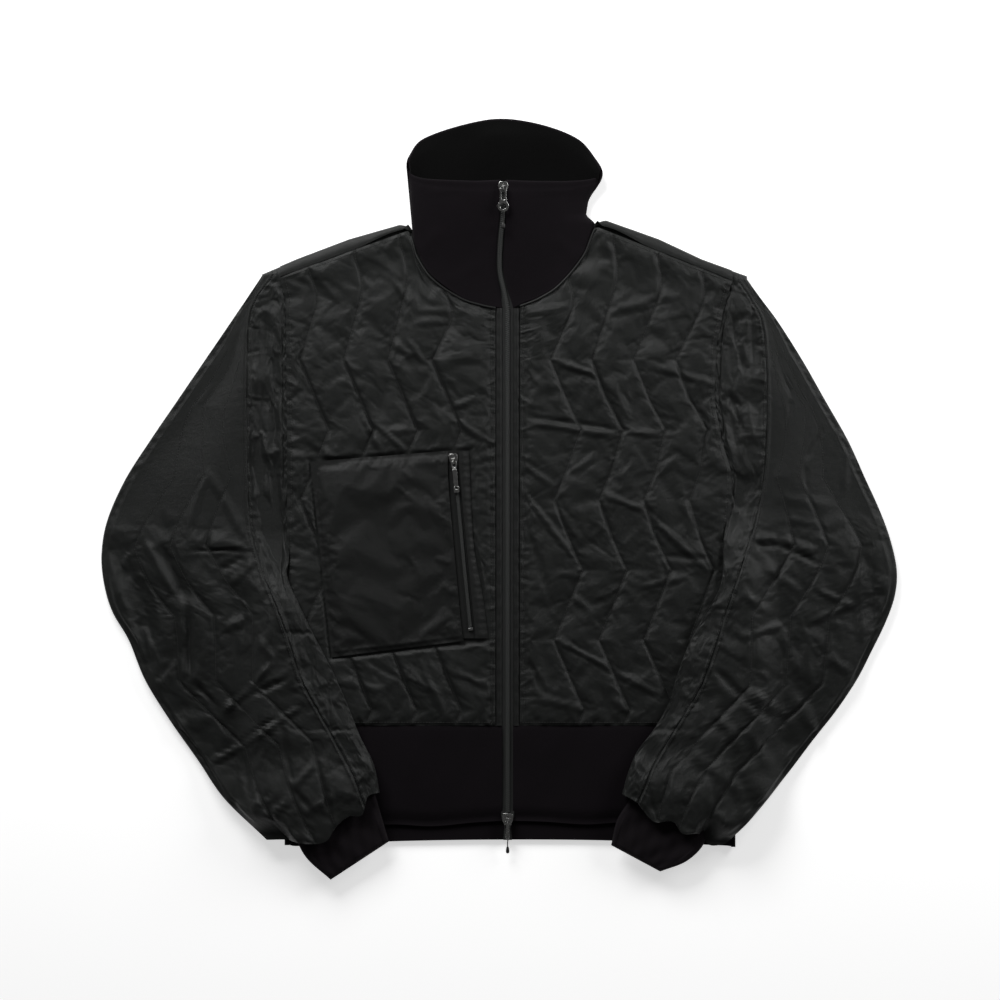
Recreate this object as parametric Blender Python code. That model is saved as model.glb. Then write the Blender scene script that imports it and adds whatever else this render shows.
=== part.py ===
"""Quilted zip jacket with a ribbed stand collar, hem and cuffs, laid flat on its back.

Lengths are in millimetres up to the point where a mesh is made. X runs across the jacket, Y from hem to
collar and Z up from the surface it lies on. Right and left are the wearer's: the right side has negative X.
"""

import math

import bmesh
import bpy
from mathutils import Matrix, Vector

MM = 0.001
JACKET = "quilted_jacket"

# Gaps and wall levels, from the surface upwards.
GAP = 0.3
BACK_WALL = 5.0
FRONT_INSIDE = BACK_WALL + GAP
STITCH_TOP = 9.0
PUFF = 4.6
POCKET_BED = 10.0
BODY_TOP = 14.6
RIB_TOP = 9.4
FLAT = 0.4

# Chevron quilting: upright zigzag lines, one corner every ZIG_STEP of height.
ZIG_STEP = 77.0
ZIG_LEAN = 32.0
PITCH = 48.5
ROWS_PER_STEP = 3
ROW = ZIG_STEP / ROWS_PER_STEP

# Body.
HEM_SEAM = -248.0
MORPH_FROM = 2 * ZIG_STEP
MORPH_ROWS = 4
FIRST_LINE = 4.5
FRONT_WIDTH = 229.0
SHOULDER_TOP = 12.6
SHOULDER_ROLL = 9.0
SHOULDER_LAP = 4.4
NECK_POINT_ROOM = 7.0

# Front zip.
ZIP_X = 8.4
CHAIN_HALF = 3.3
TAPE_HALF = 5.5
STRIP_WIDTH = 7.6
ZIP_TOP = 349.0
ZIP_END = -374.0
TAPE_LOW = FRONT_INSIDE + 1.7
TAPE_TOP = FRONT_INSIDE + 2.6
CHAIN_LOW = TAPE_TOP + GAP
CHAIN_THICK = 2.2
CHAIN_END = -344.0
STRIP_TOP = STITCH_TOP - 0.6
STRIP_CROWN = 1.6
SLIDER_LENGTH = 13.0
BAR_HEIGHT = 4.4
BAR_RADIUS = 0.65
EYE_RADIUS = 1.9
PLATE = 2.0
NECK_AT_ZIP = 211.0

# Collar and hem band.
COLLAR_ROWS = 5
COLLAR_LIFT = 17.0
COLLAR_WALL = 3.6
HEM_WALL = 3.8
HEM_ROWS = 5

# Sleeves.
SLEEVE_UNDER = 4.0
SLEEVE_INSIDE = SLEEVE_UNDER + 2.0 * GAP
SLEEVE_STITCH = 3.4
SLEEVE_PUFF = 4.4
ON_BODY = 15.0
ON_RIB = 10.6
FOLD_LAP = 18.0
RAMP_SLACK = 4.2
UNDER_COLUMNS = 12
FREE_ROWS = 12
SLEEVE_LINES = 4
INNER_LAP = 10.0
CUFF_ROOM = 8.6
RIGHT_UNDERARM = -52.0
LEFT_UNDERARM = -26.0
CUFF_WALL = 2.8
CUFF_THICK = 6.4
CUFF_ROWS = 6

# Body edge, from the shoulder point down the armhole to the underarm and the side seam: height, distance out.
RIGHT_EDGE = [(245, -242), (222, -236), (154, -235), (0, -234), (-62, -235), (-120, -236), (-248, -237)]
LEFT_EDGE = [(241, 255), (209, 246), (170, 238), (110, 236), (66, 244), (33, 254), (0, 255), (-44, 249),
             (-100, 252), (-248, 259)]

# Top edge of each front, from the zip along the neck seam and the shoulder seam: across, height.
RIGHT_TOP = [(-5, 211), (-20, 214), (-44, 222), (-77, 245), (-93, 270), (-101, 296), (-160, 275), (-242, 245)]
LEFT_TOP = [(22, 213), (44, 222), (66, 237), (93, 270), (107, 300), (165, 277), (255, 241)]

# Shoulder fold, seen from above: across, height.
SHOULDER_FOLD = [(-261, 249), (-224, 265), (-166, 287), (-110, 303), (-96, 300), (100, 303), (116, 308),
                 (175, 287), (222, 265), (274, 246)]
BACK_NECK = [(-97, 294), (-60, 285.5), (0, 282.5), (64, 286), (103, 296.5)]

# Sleeves from shoulder to cuff. Each row: height of the inner edge, then inner, seam and outer points.
RIGHT_SLEEVE = [
    # inner_y, inner_x, seam_x, seam_y, outer_x, outer_y
    (245, -243, -250, 247, -262, 247),
    (222, -236, -268, 222, -280, 220),
    (198, -235, -276, 198, -295, 198),
    (154, -235, -278, 154, -325, 154),
    (110, -235, -278, 110, -355, 110),
    (66, -234, -278, 66, -385, 66),
    (22, -234, -277, 22, -413, 22),
    (-22, -234, -275, -22, -433, -24),
    (-57, -235, -268, -53, -439, -62),
    (-80, -237, -258, -85, -436, -93),
    (-110, -223, -245, -115, -427, -123),
    (-145, -206, -231, -154, -409, -154),
    (-185, -185, -217, -198, -391, -198),
    (-223, -168, -198, -233, -364, -242),
    (-260, -153, -178, -269, -333, -286),
    (-291, -138, -160, -302, -302, -330),
    (-320, -132, -150, -330, -256, -373),
]
LEFT_SLEEVE = [
    (241, 257, 263, 241, 272, 243),
    (220, 250, 276, 221, 287, 222),
    (198, 243, 288, 198, 305, 198),
    (154, 237, 293, 154, 333, 154),
    (110, 236, 294, 110, 358, 110),
    (66, 244, 293, 66, 383, 66),
    (22, 254, 290, 22, 403, 22),
    (-11, 254, 284, -11, 418, -11),
    (-44, 249, 275, -42, 430, -44),
    (-71, 246, 266, -68, 437, -77),
    (-99, 240, 255, -99, 435, -105),
    (-130, 222, 244, -134, 425, -134),
    (-163, 205, 233, -170, 409, -167),
    (-196, 193, 220, -204, 393, -198),
    (-223, 185, 204, -231, 371, -231),
    (-251, 169, 185, -262, 345, -264),
    (-275, 151, 167, -291, 311, -308),
    (-297, 141, 160, -310, 273, -352),
    (-322, 134, 154, -325, 247, -378),
]
# How far the gathered end of each sleeve hangs past a straight line, from outer to inner fold.
RIGHT_END = [(0.0, 0), (0.15, 8), (0.3, 20), (0.45, 25), (0.56, 15), (0.7, 9), (0.8, 13), (0.9, -2), (1.0, 0)]
LEFT_END = [(0.0, 0), (0.12, 9), (0.25, 4), (0.38, 12), (0.5, 6), (0.64, 16), (0.78, 11), (0.9, 4), (1.0, 0)]

# Cuffs, from inside the sleeve to the open end: inner point, outer point, height of the underside.
RIGHT_CUFF = [
    # inner_x, inner_y, outer_x, outer_y, under
    (-142, -308, -226, -346, 15.2),
    (-136, -326, -224, -369, 15.2),
    (-129, -350, -212, -393, 15.0),
    (-122, -375, -186, -417, 11.0),
]
LEFT_CUFF = [
    (150, -314, 222, -354, 15.2),
    (140, -332, 224, -376, 15.2),
    (128, -352, 205, -396, 15.0),
    (122, -379, 176, -408, 11.0),
]

# Ribbed collar, in order round the neck from the zip. Each row: place on the neck seam, place on the top
# edge and the direction to the collar's inside.
COLLAR = [
    # foot_x, foot_y, foot_z, top_x, top_y, top_z, into_x, into_z
    (-20, 215.4, 9.2, -26, 348, 25.2, 0, -1),
    (-44, 224.2, 9.5, -52, 349, 23.4, 0, -1),
    (-75.5, 247.6, 9.8, -80, 351, 19.0, 0, -1),
    (-90, 271.5, 9.6, -95, 355, 14.0, 0.25, -1),
    (-95.5, 289, 7.6, -101, 361, 9.6, 0.8, -0.5),
    (-96.3, 299, 4.6, -103, 368, 5.2, 1, 0),
    (-92, 299, 0.8, -100, 378, 0.8, 0.8, 0.8),
    (-66, 291, 0, -85, 395, 0, 0, 1),
    (-30, 286, 0, -44, 410, 0, 0, 1),
    (3, 285, 0, 0, 417.5, 0, 0, 1),
    (38, 286, 0, 46, 411, 0, 0, 1),
    (72, 291, 0, 86, 395, 0, 0, 1),
    (97, 300, 0.8, 107, 372, 0.8, -0.8, 0.8),
    (103, 302, 4.6, 113, 360, 5.2, -1, 0),
    (102, 292, 7.6, 110, 355, 9.6, -0.8, -0.5),
    (91.5, 271, 9.6, 99, 351, 14.0, -0.25, -1),
    (66, 239, 9.8, 76, 348.5, 19.0, 0, -1),
    (44, 224, 9.5, 52, 348, 23.4, 0, -1),
    (28, 217.8, 9.2, 30, 348, 25.2, 0, -1),
]

# Pocket on the right front: corners of the patch and of the strip beside its zip.
POCKET_LEFT = [(40, -208), (-173, -185)]
POCKET_LIP = [(54, -57), (25, -57), (-47, -51), (-142, -42), (-155, -40)]
POCKET_CHAIN = [(38, -50), (-7, -45.5), (-66, -40), (-146, -32)]
POCKET_STRIP_OUT = [(54, -34), (-47, -29), (-105, -19), (-151, -13)]
POCKET_PATCH_TOP = 12.8
POCKET_ROWS = 9
POCKET_PATCH_ENDS = ((42.0, -173.0), (54.0, -155.0))
POCKET_TAPE = 0.8
POCKET_CHAIN_HALF = 2.6
POCKET_CELL = 30.0


def over(low, high, value):
    """Smooth rise from 0 at low to 1 at high."""
    t = min(max((value - low) / (high - low), 0.0), 1.0)
    return t * t * (3.0 - 2.0 * t)


def straight(rows, at):
    """Value at a place on straight lines through rows of (place, value)."""
    rows = sorted(rows)
    for (a, first), (b, second) in zip(rows, rows[1:]):
        if at <= b or (b, second) == rows[-1]:
            return first + (second - first) * (at - a) / (b - a)
    return rows[0][1]


def smooth(rows, at):
    """Value at a place on a soft curve through rows of (place, value)."""
    rows = sorted(rows)
    at = min(max(at, rows[0][0]), rows[-1][0])
    index = max(i for i in range(len(rows) - 1) if rows[i][0] <= at or i == 0)

    def slope(i):
        before = rows[max(i - 1, 0)]
        after = rows[min(i + 1, len(rows) - 1)]
        return (after[1] - before[1]) / (after[0] - before[0])

    (a, first), (b, second) = rows[index], rows[index + 1]
    t = (at - a) / (b - a)
    reach = b - a
    return ((2 * t**3 - 3 * t**2 + 1) * first + (t**3 - 2 * t**2 + t) * reach * slope(index)
            + (3 * t**2 - 2 * t**3) * second + (t**3 - t**2) * reach * slope(index + 1))


def zigzag(steps):
    """Sideways place of a chevron line, 0 to 1 and back, a corner at each whole step."""
    t = steps % 2.0
    return t if t < 1.0 else 2.0 - t


def pillow(phase):
    """Height across one channel of wadding, 0 at its stitch lines and 1 in the middle."""
    return math.sin(math.pi * (phase % 1.0)) ** 0.7


def ruck(a, b):
    """Soft unevenness of wadding, between -1 and 1."""
    return 0.6 * math.sin(a * 0.11 + 1.7 * math.sin(b * 0.023)) + 0.4 * math.sin(b * 0.071 + a * 0.037)


def material(name, colour, roughness, metallic=0.0):
    made = bpy.data.materials.new(name)
    made.use_nodes = True
    shader = made.node_tree.nodes["Principled BSDF"]
    shader.inputs["Base Color"].default_value = (*colour, 1.0)
    shader.inputs["Roughness"].default_value = roughness
    shader.inputs["Metallic"].default_value = metallic
    made.diffuse_color = (*colour, 1.0)
    return made


def finishes():
    return {
        "shell": material("shell_nylon", (0.014, 0.015, 0.014), 0.42),
        "rib": material("rib_knit", (0.008, 0.007, 0.0075), 0.9),
        "tape": material("zip_tape", (0.012, 0.013, 0.012), 0.7),
        "metal": material("dark_metal", (0.06, 0.06, 0.06), 0.32, 0.9),
    }


def place(name, mesh, finish, collection):
    made = bpy.data.objects.new(name, mesh)
    mesh.materials.append(finish)
    collection.objects.link(made)
    return made


def wall(name, outer, inner, finish, collection, closed=False):
    """A closed cloth wall from matching grids of outer and inner points, its flat faces merged.

    A closed wall joins its last column to its first.
    """
    shape = bmesh.new()
    skins = [[[shape.verts.new(Vector(p) * MM) for p in row] for row in grid] for grid in (outer, inner)]
    rows = len(outer)
    columns = len(outer[0])
    spans = columns if closed else columns - 1
    for i in range(rows - 1):
        for j in range(spans):
            k = (j + 1) % columns
            for skin, turned in zip(skins, (False, True)):
                corners = [skin[i][j], skin[i][k], skin[i + 1][k], skin[i + 1][j]]
                shape.faces.new(corners[::-1] if turned else corners)
    out, into = skins
    for i, turned in ((0, True), (rows - 1, False)):
        for j in range(spans):
            k = (j + 1) % columns
            corners = [out[i][j], out[i][k], into[i][k], into[i][j]]
            shape.faces.new(corners[::-1] if turned else corners)
    if not closed:
        for j, turned in ((0, False), (columns - 1, True)):
            for i in range(rows - 1):
                corners = [out[i][j], out[i + 1][j], into[i + 1][j], into[i][j]]
                shape.faces.new(corners[::-1] if turned else corners)
    bmesh.ops.recalc_face_normals(shape, faces=shape.faces[:])
    bmesh.ops.dissolve_limit(shape, angle_limit=math.radians(FLAT), edges=shape.edges[:], verts=[])
    mesh = bpy.data.meshes.new(name)
    shape.to_mesh(mesh)
    shape.free()
    made = place(name, mesh, finish, collection)
    mesh.shade_smooth()
    mesh.set_sharp_from_angle(angle=math.radians(40))
    return made


# ---------------------------------------------------------------- body

def edge_of(side):
    return RIGHT_EDGE if side < 0 else LEFT_EDGE


def top_of(side):
    return RIGHT_TOP if side < 0 else LEFT_TOP


def body_levels(side):
    """Heights at which the body edge has its points, from the hem seam to the shoulder point."""
    levels = [HEM_SEAM, -3 * ZIG_STEP]
    while levels[-1] < MORPH_FROM - 1.0:
        levels.append(levels[-1] + ROW)
    top = edge_of(side)[0][0]
    levels[-1] = MORPH_FROM
    levels += [MORPH_FROM + (top - MORPH_FROM) * k / MORPH_ROWS for k in range(1, MORPH_ROWS + 1)]
    return levels


def front_columns():
    """Columns of a front as (distance from the zip edge, phase of the quilting), FRONT_WIDTH across."""
    margin = 9.0
    columns = [(0.0, -FIRST_LINE / PITCH)]
    line = 0
    while True:
        for phase in (0.0, 0.22, 0.5, 0.78):
            distance = FIRST_LINE + PITCH * (line + phase)
            if distance > FRONT_WIDTH - margin:
                return columns + [(FRONT_WIDTH, (FRONT_WIDTH - FIRST_LINE) / PITCH)]
            if distance > margin:
                columns.append((distance, line + phase))
        line += 1


def front_top_points(side):
    """Points of a front's top edge, one a column, from the zip to the shoulder point."""
    top = top_of(side)
    first, last = top[0][0], top[-1][0]
    points = []
    for distance, _ in front_columns():
        x = first + (last - first) * distance / FRONT_WIDTH
        points.append((x, straight(top, x)))
    return points


def pocket_cover(x, y):
    """Whether a place on the right front is under the pocket or beside it."""
    low, high = POCKET_PATCH_ENDS[0][1], POCKET_PATCH_ENDS[1][0]
    if not low - POCKET_CELL < y < high + POCKET_CELL:
        return False
    return straight(POCKET_LEFT, y) - 20.0 < x < straight(POCKET_STRIP_OUT, y) + 18.0


def front_panel(side, finish, collection):
    columns = front_columns()
    levels = body_levels(side)
    zip_edge = ZIP_X + side * (TAPE_HALF + STRIP_WIDTH + GAP)
    top = front_top_points(side)
    outer, inner = [], []
    for row, y in enumerate(levels):
        above = max(row - (len(levels) - 1 - MORPH_ROWS), 0) / MORPH_ROWS
        straight_edge = straight(edge_of(side), y)
        out_row, in_row = [], []
        for index, (distance, phase) in enumerate(columns):
            from_edge = min(distance, FRONT_WIDTH - distance)
            hold = over(4.0, 34.0, from_edge) * (1.0 - over(0.5, 1.0, above))
            lean = (zigzag(y / ZIG_STEP) - 0.5) * ZIG_LEAN * hold
            if above > 0.0:
                low = zip_edge + (straight(edge_of(side), MORPH_FROM) - zip_edge) * distance / FRONT_WIDTH
                x = low + (top[index][0] - low) * above + lean
                height = MORPH_FROM + (top[index][1] - MORPH_FROM) * above
                if index == len(columns) - 1:
                    x = straight_edge
                    height = y
            else:
                x = zip_edge + (straight_edge - zip_edge) * distance / FRONT_WIDTH + lean
                height = y
            seam = over(0.0, 18.0, from_edge) * over(0.0, 16.0, height - HEM_SEAM)
            seam *= over(0.0, 16.0, top[index][1] - height)
            corner = 0.82 + 0.18 * math.sin(math.pi * (height / ZIG_STEP % 1.0))
            puff = PUFF * pillow(phase) * corner + 0.5 * ruck(x, height)
            z = STITCH_TOP + puff * seam
            if side < 0 and pocket_cover(x, height):
                z = min(z, POCKET_BED)
            out_row.append((x, height, min(z, BODY_TOP)))
            in_row.append((x, height, FRONT_INSIDE))
        outer.append(out_row)
        inner.append(in_row)
    name = "front_right" if side < 0 else "front_left"
    return wall(name, outer, inner, finish, collection)


def back_panel(finish, collection):
    """Flat on the surface, and folded forward over each shoulder to its seam."""
    right = front_top_points(-1)
    left = front_top_points(1)
    neck_right, neck_left = RIGHT_TOP[5], LEFT_TOP[4]
    seam_right = [neck_right] + [p for p in right if p[0] < neck_right[0] - 2.0]
    seam_left = [neck_left] + [p for p in left if p[0] > neck_left[0] + 2.0]
    tops = [(x, y, True) for x, y in seam_right[::-1]] + [(x, y, False) for x, y in BACK_NECK]
    tops += [(x, y, True) for x, y in seam_left]
    level_pairs = list(zip(body_levels(-1), body_levels(1)))
    first, last = tops[0][0], tops[-1][0]
    outer, inner = [], []
    for row, (y_right, y_left) in enumerate(level_pairs):
        out_row, in_row = [], []
        for x_top, seam, folded in tops:
            u = (x_top - first) / (last - first)
            fold = straight(SHOULDER_FOLD, x_top) - SHOULDER_ROLL if folded else seam
            above = max(row - (len(level_pairs) - 1 - MORPH_ROWS), 0) / MORPH_ROWS
            from_right = straight(RIGHT_EDGE, min(y_right, MORPH_FROM))
            from_left = straight(LEFT_EDGE, min(y_left, MORPH_FROM))
            x_low = from_right * (1.0 - u) + from_left * u
            y = y_right if above == 0.0 else MORPH_FROM + (fold - MORPH_FROM) * above
            x = x_low + (x_top - x_low) * above
            if u == 0.0:
                x, y = straight(RIGHT_EDGE, y_right), y_right
            elif u == 1.0:
                x, y = straight(LEFT_EDGE, y_left), y_left
            out_row.append((x, y, 0.0))
            in_row.append((x, y, BACK_WALL))
        outer.append(out_row)
        inner.append(in_row)
    roll = [(0.35, 0.0), (0.75, 0.16), (1.0, 0.5), (0.8, 0.86), (0.3, 1.0), (0.0, 1.0)]
    for step, (reach, rise) in enumerate(roll, start=1):
        out_row, in_row = [], []
        for x_top, seam, folded in tops:
            if not folded:
                shift = 0.12 * step
                out_row.append((x_top, seam + shift, 0.0))
                in_row.append((x_top, seam + shift, BACK_WALL))
                continue
            fold = straight(SHOULDER_FOLD, x_top)
            start = fold - SHOULDER_ROLL
            at_neck = x_top in (neck_right[0], neck_left[0])
            tip = seam + (NECK_POINT_ROOM if at_neck else GAP * 2.0)
            if rise < 0.75:
                y_out = start + SHOULDER_ROLL * reach
                y_in = start + (SHOULDER_ROLL - SHOULDER_LAP) * reach
            else:
                y_out = tip + (fold - tip) * reach
                y_in = tip + (fold - SHOULDER_LAP - tip) * reach
            out_row.append((x_top, y_out, SHOULDER_TOP * rise))
            in_row.append((x_top, y_in, BACK_WALL + (SHOULDER_TOP - 2.0 * BACK_WALL + 2.0) * rise))
        outer.append(out_row)
        inner.append(in_row)
    return wall("back_panel", outer, inner, finish, collection)


# ---------------------------------------------------------------- sleeves

def sleeve_rows(side):
    return RIGHT_SLEEVE if side < 0 else LEFT_SLEEVE


def sleeve_stations(side):
    """Places down the inner edge: the body's own levels to the underarm, then even steps to the cuff."""
    rows = sleeve_rows(side)
    underarm = RIGHT_UNDERARM if side < 0 else LEFT_UNDERARM
    levels = [y for y in body_levels(side)[::-1] if y > underarm - 1.0]
    last = levels[-1]
    end = rows[-1][0]
    return levels, levels + [last + (end - last) * k / FREE_ROWS for k in range(1, FREE_ROWS + 1)]


def station_line(side, inner_y, armhole):
    """Inner, seam and outer points of a sleeve at one station."""
    rows = sleeve_rows(side)
    values = [smooth([(row[0], row[k]) for row in rows], inner_y) for k in range(1, 6)]
    inner_x, seam_x, seam_y, outer_x, outer_y = values
    if armhole:
        inner_x = straight(edge_of(side), inner_y) + side * 2.0 * GAP
    return Vector((inner_x, inner_y)), Vector((seam_x, seam_y)), Vector((outer_x, outer_y))


def support(side, x, y):
    """Height of what a sleeve lies on: the surface, or the body under its lower half."""
    edge = abs(straight(edge_of(side), max(y, HEM_SEAM)))
    start = (RIGHT_UNDERARM if side < 0 else LEFT_UNDERARM) + 2.0
    height = ON_BODY + (ON_RIB - ON_BODY) * over(HEM_SEAM - 4.0, HEM_SEAM - 34.0, y)
    return height * (1.0 - over(edge + 10.0, edge + 54.0, abs(x))) * over(start, start - 24.0, y)


def end_reach(side, u, row, rows):
    """How far the last rows of a sleeve hang past their line."""
    table = RIGHT_END if side < 0 else LEFT_END
    return smooth(table, u) * max(0.0, (row - (rows - 4)) / 3.0)


def sleeve_point(side, line, distance, row, rows, z):
    """A point at a distance from the outer fold, along the line outer - seam - inner."""
    inner, seam, outer = line
    first = (seam - outer).length
    whole = first + (inner - seam).length
    along = (inner - outer).normalized()
    if distance <= first:
        spot = outer + (seam - outer).normalized() * distance
    else:
        spot = seam + (inner - seam).normalized() * (distance - first)
    down = Vector((along.y, -along.x)) * (1.0 if along.x > 0 else -1.0)
    reach = end_reach(side, min(max(distance / whole, 0.0), 1.0), row, rows)
    spot = spot + down * reach
    below = support(side, spot.x, spot.y)
    slope = below / ON_BODY
    slack = RAMP_SLACK * math.sqrt(4.0 * slope * max(1.0 - slope, 0.0)) if z > SLEEVE_UNDER + 0.1 else 0.0
    return (spot.x, spot.y, z + below + slack)


def end_lift(row, rows):
    """Room inside the end of a sleeve for the cuff."""
    return CUFF_ROOM * over(rows - 4.0, rows - 2.0, float(row))


def sleeve_top(side, finish, collection):
    levels, stations = sleeve_stations(side)
    rows = len(stations)
    phases = [(line + phase) / SLEEVE_LINES for line in range(SLEEVE_LINES) for phase in (0.0, 0.3, 0.7)]
    phases = phases[1:] + [1.0]
    outer, inner = [], []
    for row, station in enumerate(stations):
        line = station_line(side, station, row < len(levels))
        first = (line[1] - line[2]).length
        lap = min(FOLD_LAP, first * 0.5)
        lift = end_lift(row, rows)
        wide = over(20.0, 70.0, first)
        tall = SLEEVE_INSIDE + SLEEVE_STITCH + lift
        round_out = [(lap, 0.0), (lap * 0.35, 0.0), (lap * 0.06, tall * 0.25), (0.0, tall * 0.5),
                     (lap * 0.1, tall * 0.82)]
        round_in = [(lap, SLEEVE_UNDER), (lap * 0.5, SLEEVE_UNDER), (lap * 0.32, SLEEVE_UNDER + 0.05),
                    (lap * 0.3, SLEEVE_UNDER + 0.15 + lift * 0.5), (lap * 0.34, SLEEVE_INSIDE + lift)]
        out_row = [sleeve_point(side, line, d, row, rows, z) for d, z in round_out]
        in_row = [sleeve_point(side, line, d, row, rows, z) for d, z in round_in]
        for phase in phases:
            from_edge = min(phase, 1.0 - phase) * first
            hold = over(6.0, 34.0, from_edge)
            swing = (zigzag(row / ROWS_PER_STEP) - 0.5) * ZIG_LEAN * 0.8 * hold * wide
            start = lap * 0.55
            distance = start + (first - start) * phase + swing
            end_seam = over(-0.5, 1.5, rows - 1.0 - row)
            corner = 0.85 + 0.15 * math.sin(math.pi * (row / ROWS_PER_STEP % 1.0))
            puff = SLEEVE_PUFF * pillow(phase * SLEEVE_LINES) * corner * wide + 0.5 * ruck(distance, station)
            puff *= over(0.0, 9.0, from_edge + 1.0) * end_seam
            if phase == 1.0:
                puff = 0.0
            out_row.append(sleeve_point(side, line, distance, row, rows, tall + puff))
            in_row.append(sleeve_point(side, line, distance, row, rows, SLEEVE_INSIDE + lift))
        outer.append(out_row)
        inner.append(in_row)
    name = "sleeve_right_top" if side < 0 else "sleeve_left_top"
    return wall(name, outer, inner, finish, collection)


def sleeve_front(side, finish, collection):
    """The strip from the double-stitched seam to the armhole, or round the inner fold below the underarm."""
    levels, stations = sleeve_stations(side)
    rows = len(stations)
    joined = [(0.0, 0.0), (0.14, 2.2), (0.36, 3.0), (0.55, 0.4), (0.68, -1.4), (0.84, 2.0)]
    loose = [(0.0, 0.0), (0.14, 2.4), (0.36, 3.6), (0.55, 3.8), (0.68, 3.2), (0.84, 1.8)]
    outer, inner = [], []
    for row, station in enumerate(stations):
        line = station_line(side, station, row < len(levels))
        first = (line[1] - line[2]).length
        width = (line[0] - line[1]).length
        whole = first + width
        free = over(len(levels) - 1.0, len(levels) + 1.0, float(row))
        lift = end_lift(row, rows)
        flat = over(10.0, 40.0, width)
        tall = SLEEVE_INSIDE + SLEEVE_STITCH + lift
        out_row, in_row = [], []
        for (t, shut), (_, open_) in zip(joined, loose):
            rise = (shut + (open_ - shut) * free) * (flat if shut >= 0.0 or free > 0.5 else flat * 0.9)
            rise *= 1.0 - 0.2 * abs(math.sin(row * 1.3))
            distance = first + GAP + (width - GAP) * t * (1.0 - 0.12 * free)
            out_row.append(sleeve_point(side, line, distance, row, rows, tall + rise))
            in_row.append(sleeve_point(side, line, distance, row, rows, SLEEVE_INSIDE + lift))
        bend_out = [(3.0, tall * 0.95), (0.4, tall * 0.76), (0.0, tall * 0.5), (0.6, tall * 0.22),
                    (4.0, 0.0), (INNER_LAP, 0.0)]
        bend_in = [(4.6, SLEEVE_INSIDE + lift), (4.3, SLEEVE_INSIDE - 0.05 + lift * 0.8),
                   (4.1, SLEEVE_INSIDE - 0.12 + lift * 0.5), (4.3, SLEEVE_UNDER + 0.05),
                   (4.9, SLEEVE_UNDER), (INNER_LAP, SLEEVE_UNDER)]
        edge = [(width * 0.12 * k, tall) for k in (1.0, 0.8, 0.6, 0.4, 0.2, 0.0)]
        for (d_free, z_free), (i_free, iz_free), (d_edge, z_edge) in zip(bend_out, bend_in, edge):
            d_out = d_edge + (d_free - d_edge) * free
            z_out = z_edge + (z_free - z_edge) * free
            d_in = d_edge + (i_free - d_edge) * free
            z_in = SLEEVE_INSIDE + (iz_free - SLEEVE_INSIDE) * free
            out_row.append(sleeve_point(side, line, whole - d_out, row, rows, z_out))
            in_row.append(sleeve_point(side, line, whole - d_in, row, rows, z_in))
        outer.append(out_row)
        inner.append(in_row)
    name = "sleeve_right_front" if side < 0 else "sleeve_left_front"
    return wall(name, outer, inner, finish, collection)


def sleeve_under(side, finish, collection):
    levels, stations = sleeve_stations(side)
    rows = len(stations)
    outer, inner = [], []
    for row, station in enumerate(stations):
        line = station_line(side, station, row < len(levels))
        first = (line[1] - line[2]).length
        whole = first + (line[0] - line[1]).length
        free = over(len(levels) - 1.0, len(levels) + 1.0, float(row))
        start = min(FOLD_LAP, first * 0.5) + GAP
        end = whole - (INNER_LAP + GAP) * free
        out_row, in_row = [], []
        for k in range(UNDER_COLUMNS + 1):
            distance = start + (end - start) * k / UNDER_COLUMNS
            out_row.append(sleeve_point(side, line, distance, row, rows, 0.0))
            in_row.append(sleeve_point(side, line, distance, row, rows, SLEEVE_UNDER))
        outer.append(out_row)
        inner.append(in_row)
    name = "sleeve_right_under" if side < 0 else "sleeve_left_under"
    return wall(name, outer, inner, finish, collection)


def cuff(side, finish, collection):
    """A flattened tube of rib, held inside the sleeve's end."""
    table = RIGHT_CUFF if side < 0 else LEFT_CUFF
    section = [(0.0, 0.5), (0.03, 0.86), (0.1, 1.0), (0.28, 1.0), (0.5, 1.0), (0.72, 1.0), (0.9, 1.0),
               (0.97, 0.86), (1.0, 0.5), (0.97, 0.14), (0.9, 0.0), (0.5, 0.0), (0.1, 0.0), (0.03, 0.14)]
    outer, inner = [], []
    for k in range(CUFF_ROWS + 1):
        at = k / CUFF_ROWS * (len(table) - 1)
        row = [smooth([(float(i), entry[c]) for i, entry in enumerate(table)], at) for c in range(5)]
        near = Vector((row[0], row[1]))
        far = Vector((row[2], row[3]))
        width = (far - near).length
        under = row[4]
        out_row, in_row = [], []
        for u, v in section:
            spot = near + (far - near) * u
            swell = 0.5 * math.sin(u * 9.0 + k * 0.8) * (1.0 if v == 1.0 else 0.0) * over(1.0, 3.0, float(k))
            out_row.append((spot.x, spot.y, under + CUFF_THICK * v + swell))
            inset = CUFF_WALL / width
            spot = near + (far - near) * (inset + (1.0 - 2.0 * inset) * u)
            in_row.append((spot.x, spot.y, under + CUFF_WALL + (CUFF_THICK - 2.0 * CUFF_WALL) * v))
        outer.append(out_row)
        inner.append(in_row)
    return wall("cuff_right" if side < 0 else "cuff_left", outer, inner, finish, collection, closed=True)


# ---------------------------------------------------------------- ribs

def collar_lift(y):
    """How far the collar's front stands up from the neck seam to its top edge."""
    return COLLAR_LIFT * over(NECK_AT_ZIP + 4.0, ZIP_TOP + 20.0, y)


def zip_x(y):
    """Path of the zip: straight up the body, with a slight bow in the collar."""
    if y < NECK_AT_ZIP:
        return ZIP_X
    return smooth([(NECK_AT_ZIP, ZIP_X), (226, 5.4), (253, 0.0), (286, 0.8), (313, 3.2), (360, 3.4)], y)


def collar_levels():
    low = NECK_AT_ZIP + GAP
    return [low + (ZIP_TOP - low) * k / COLLAR_ROWS for k in range(COLLAR_ROWS + 1)]


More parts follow.
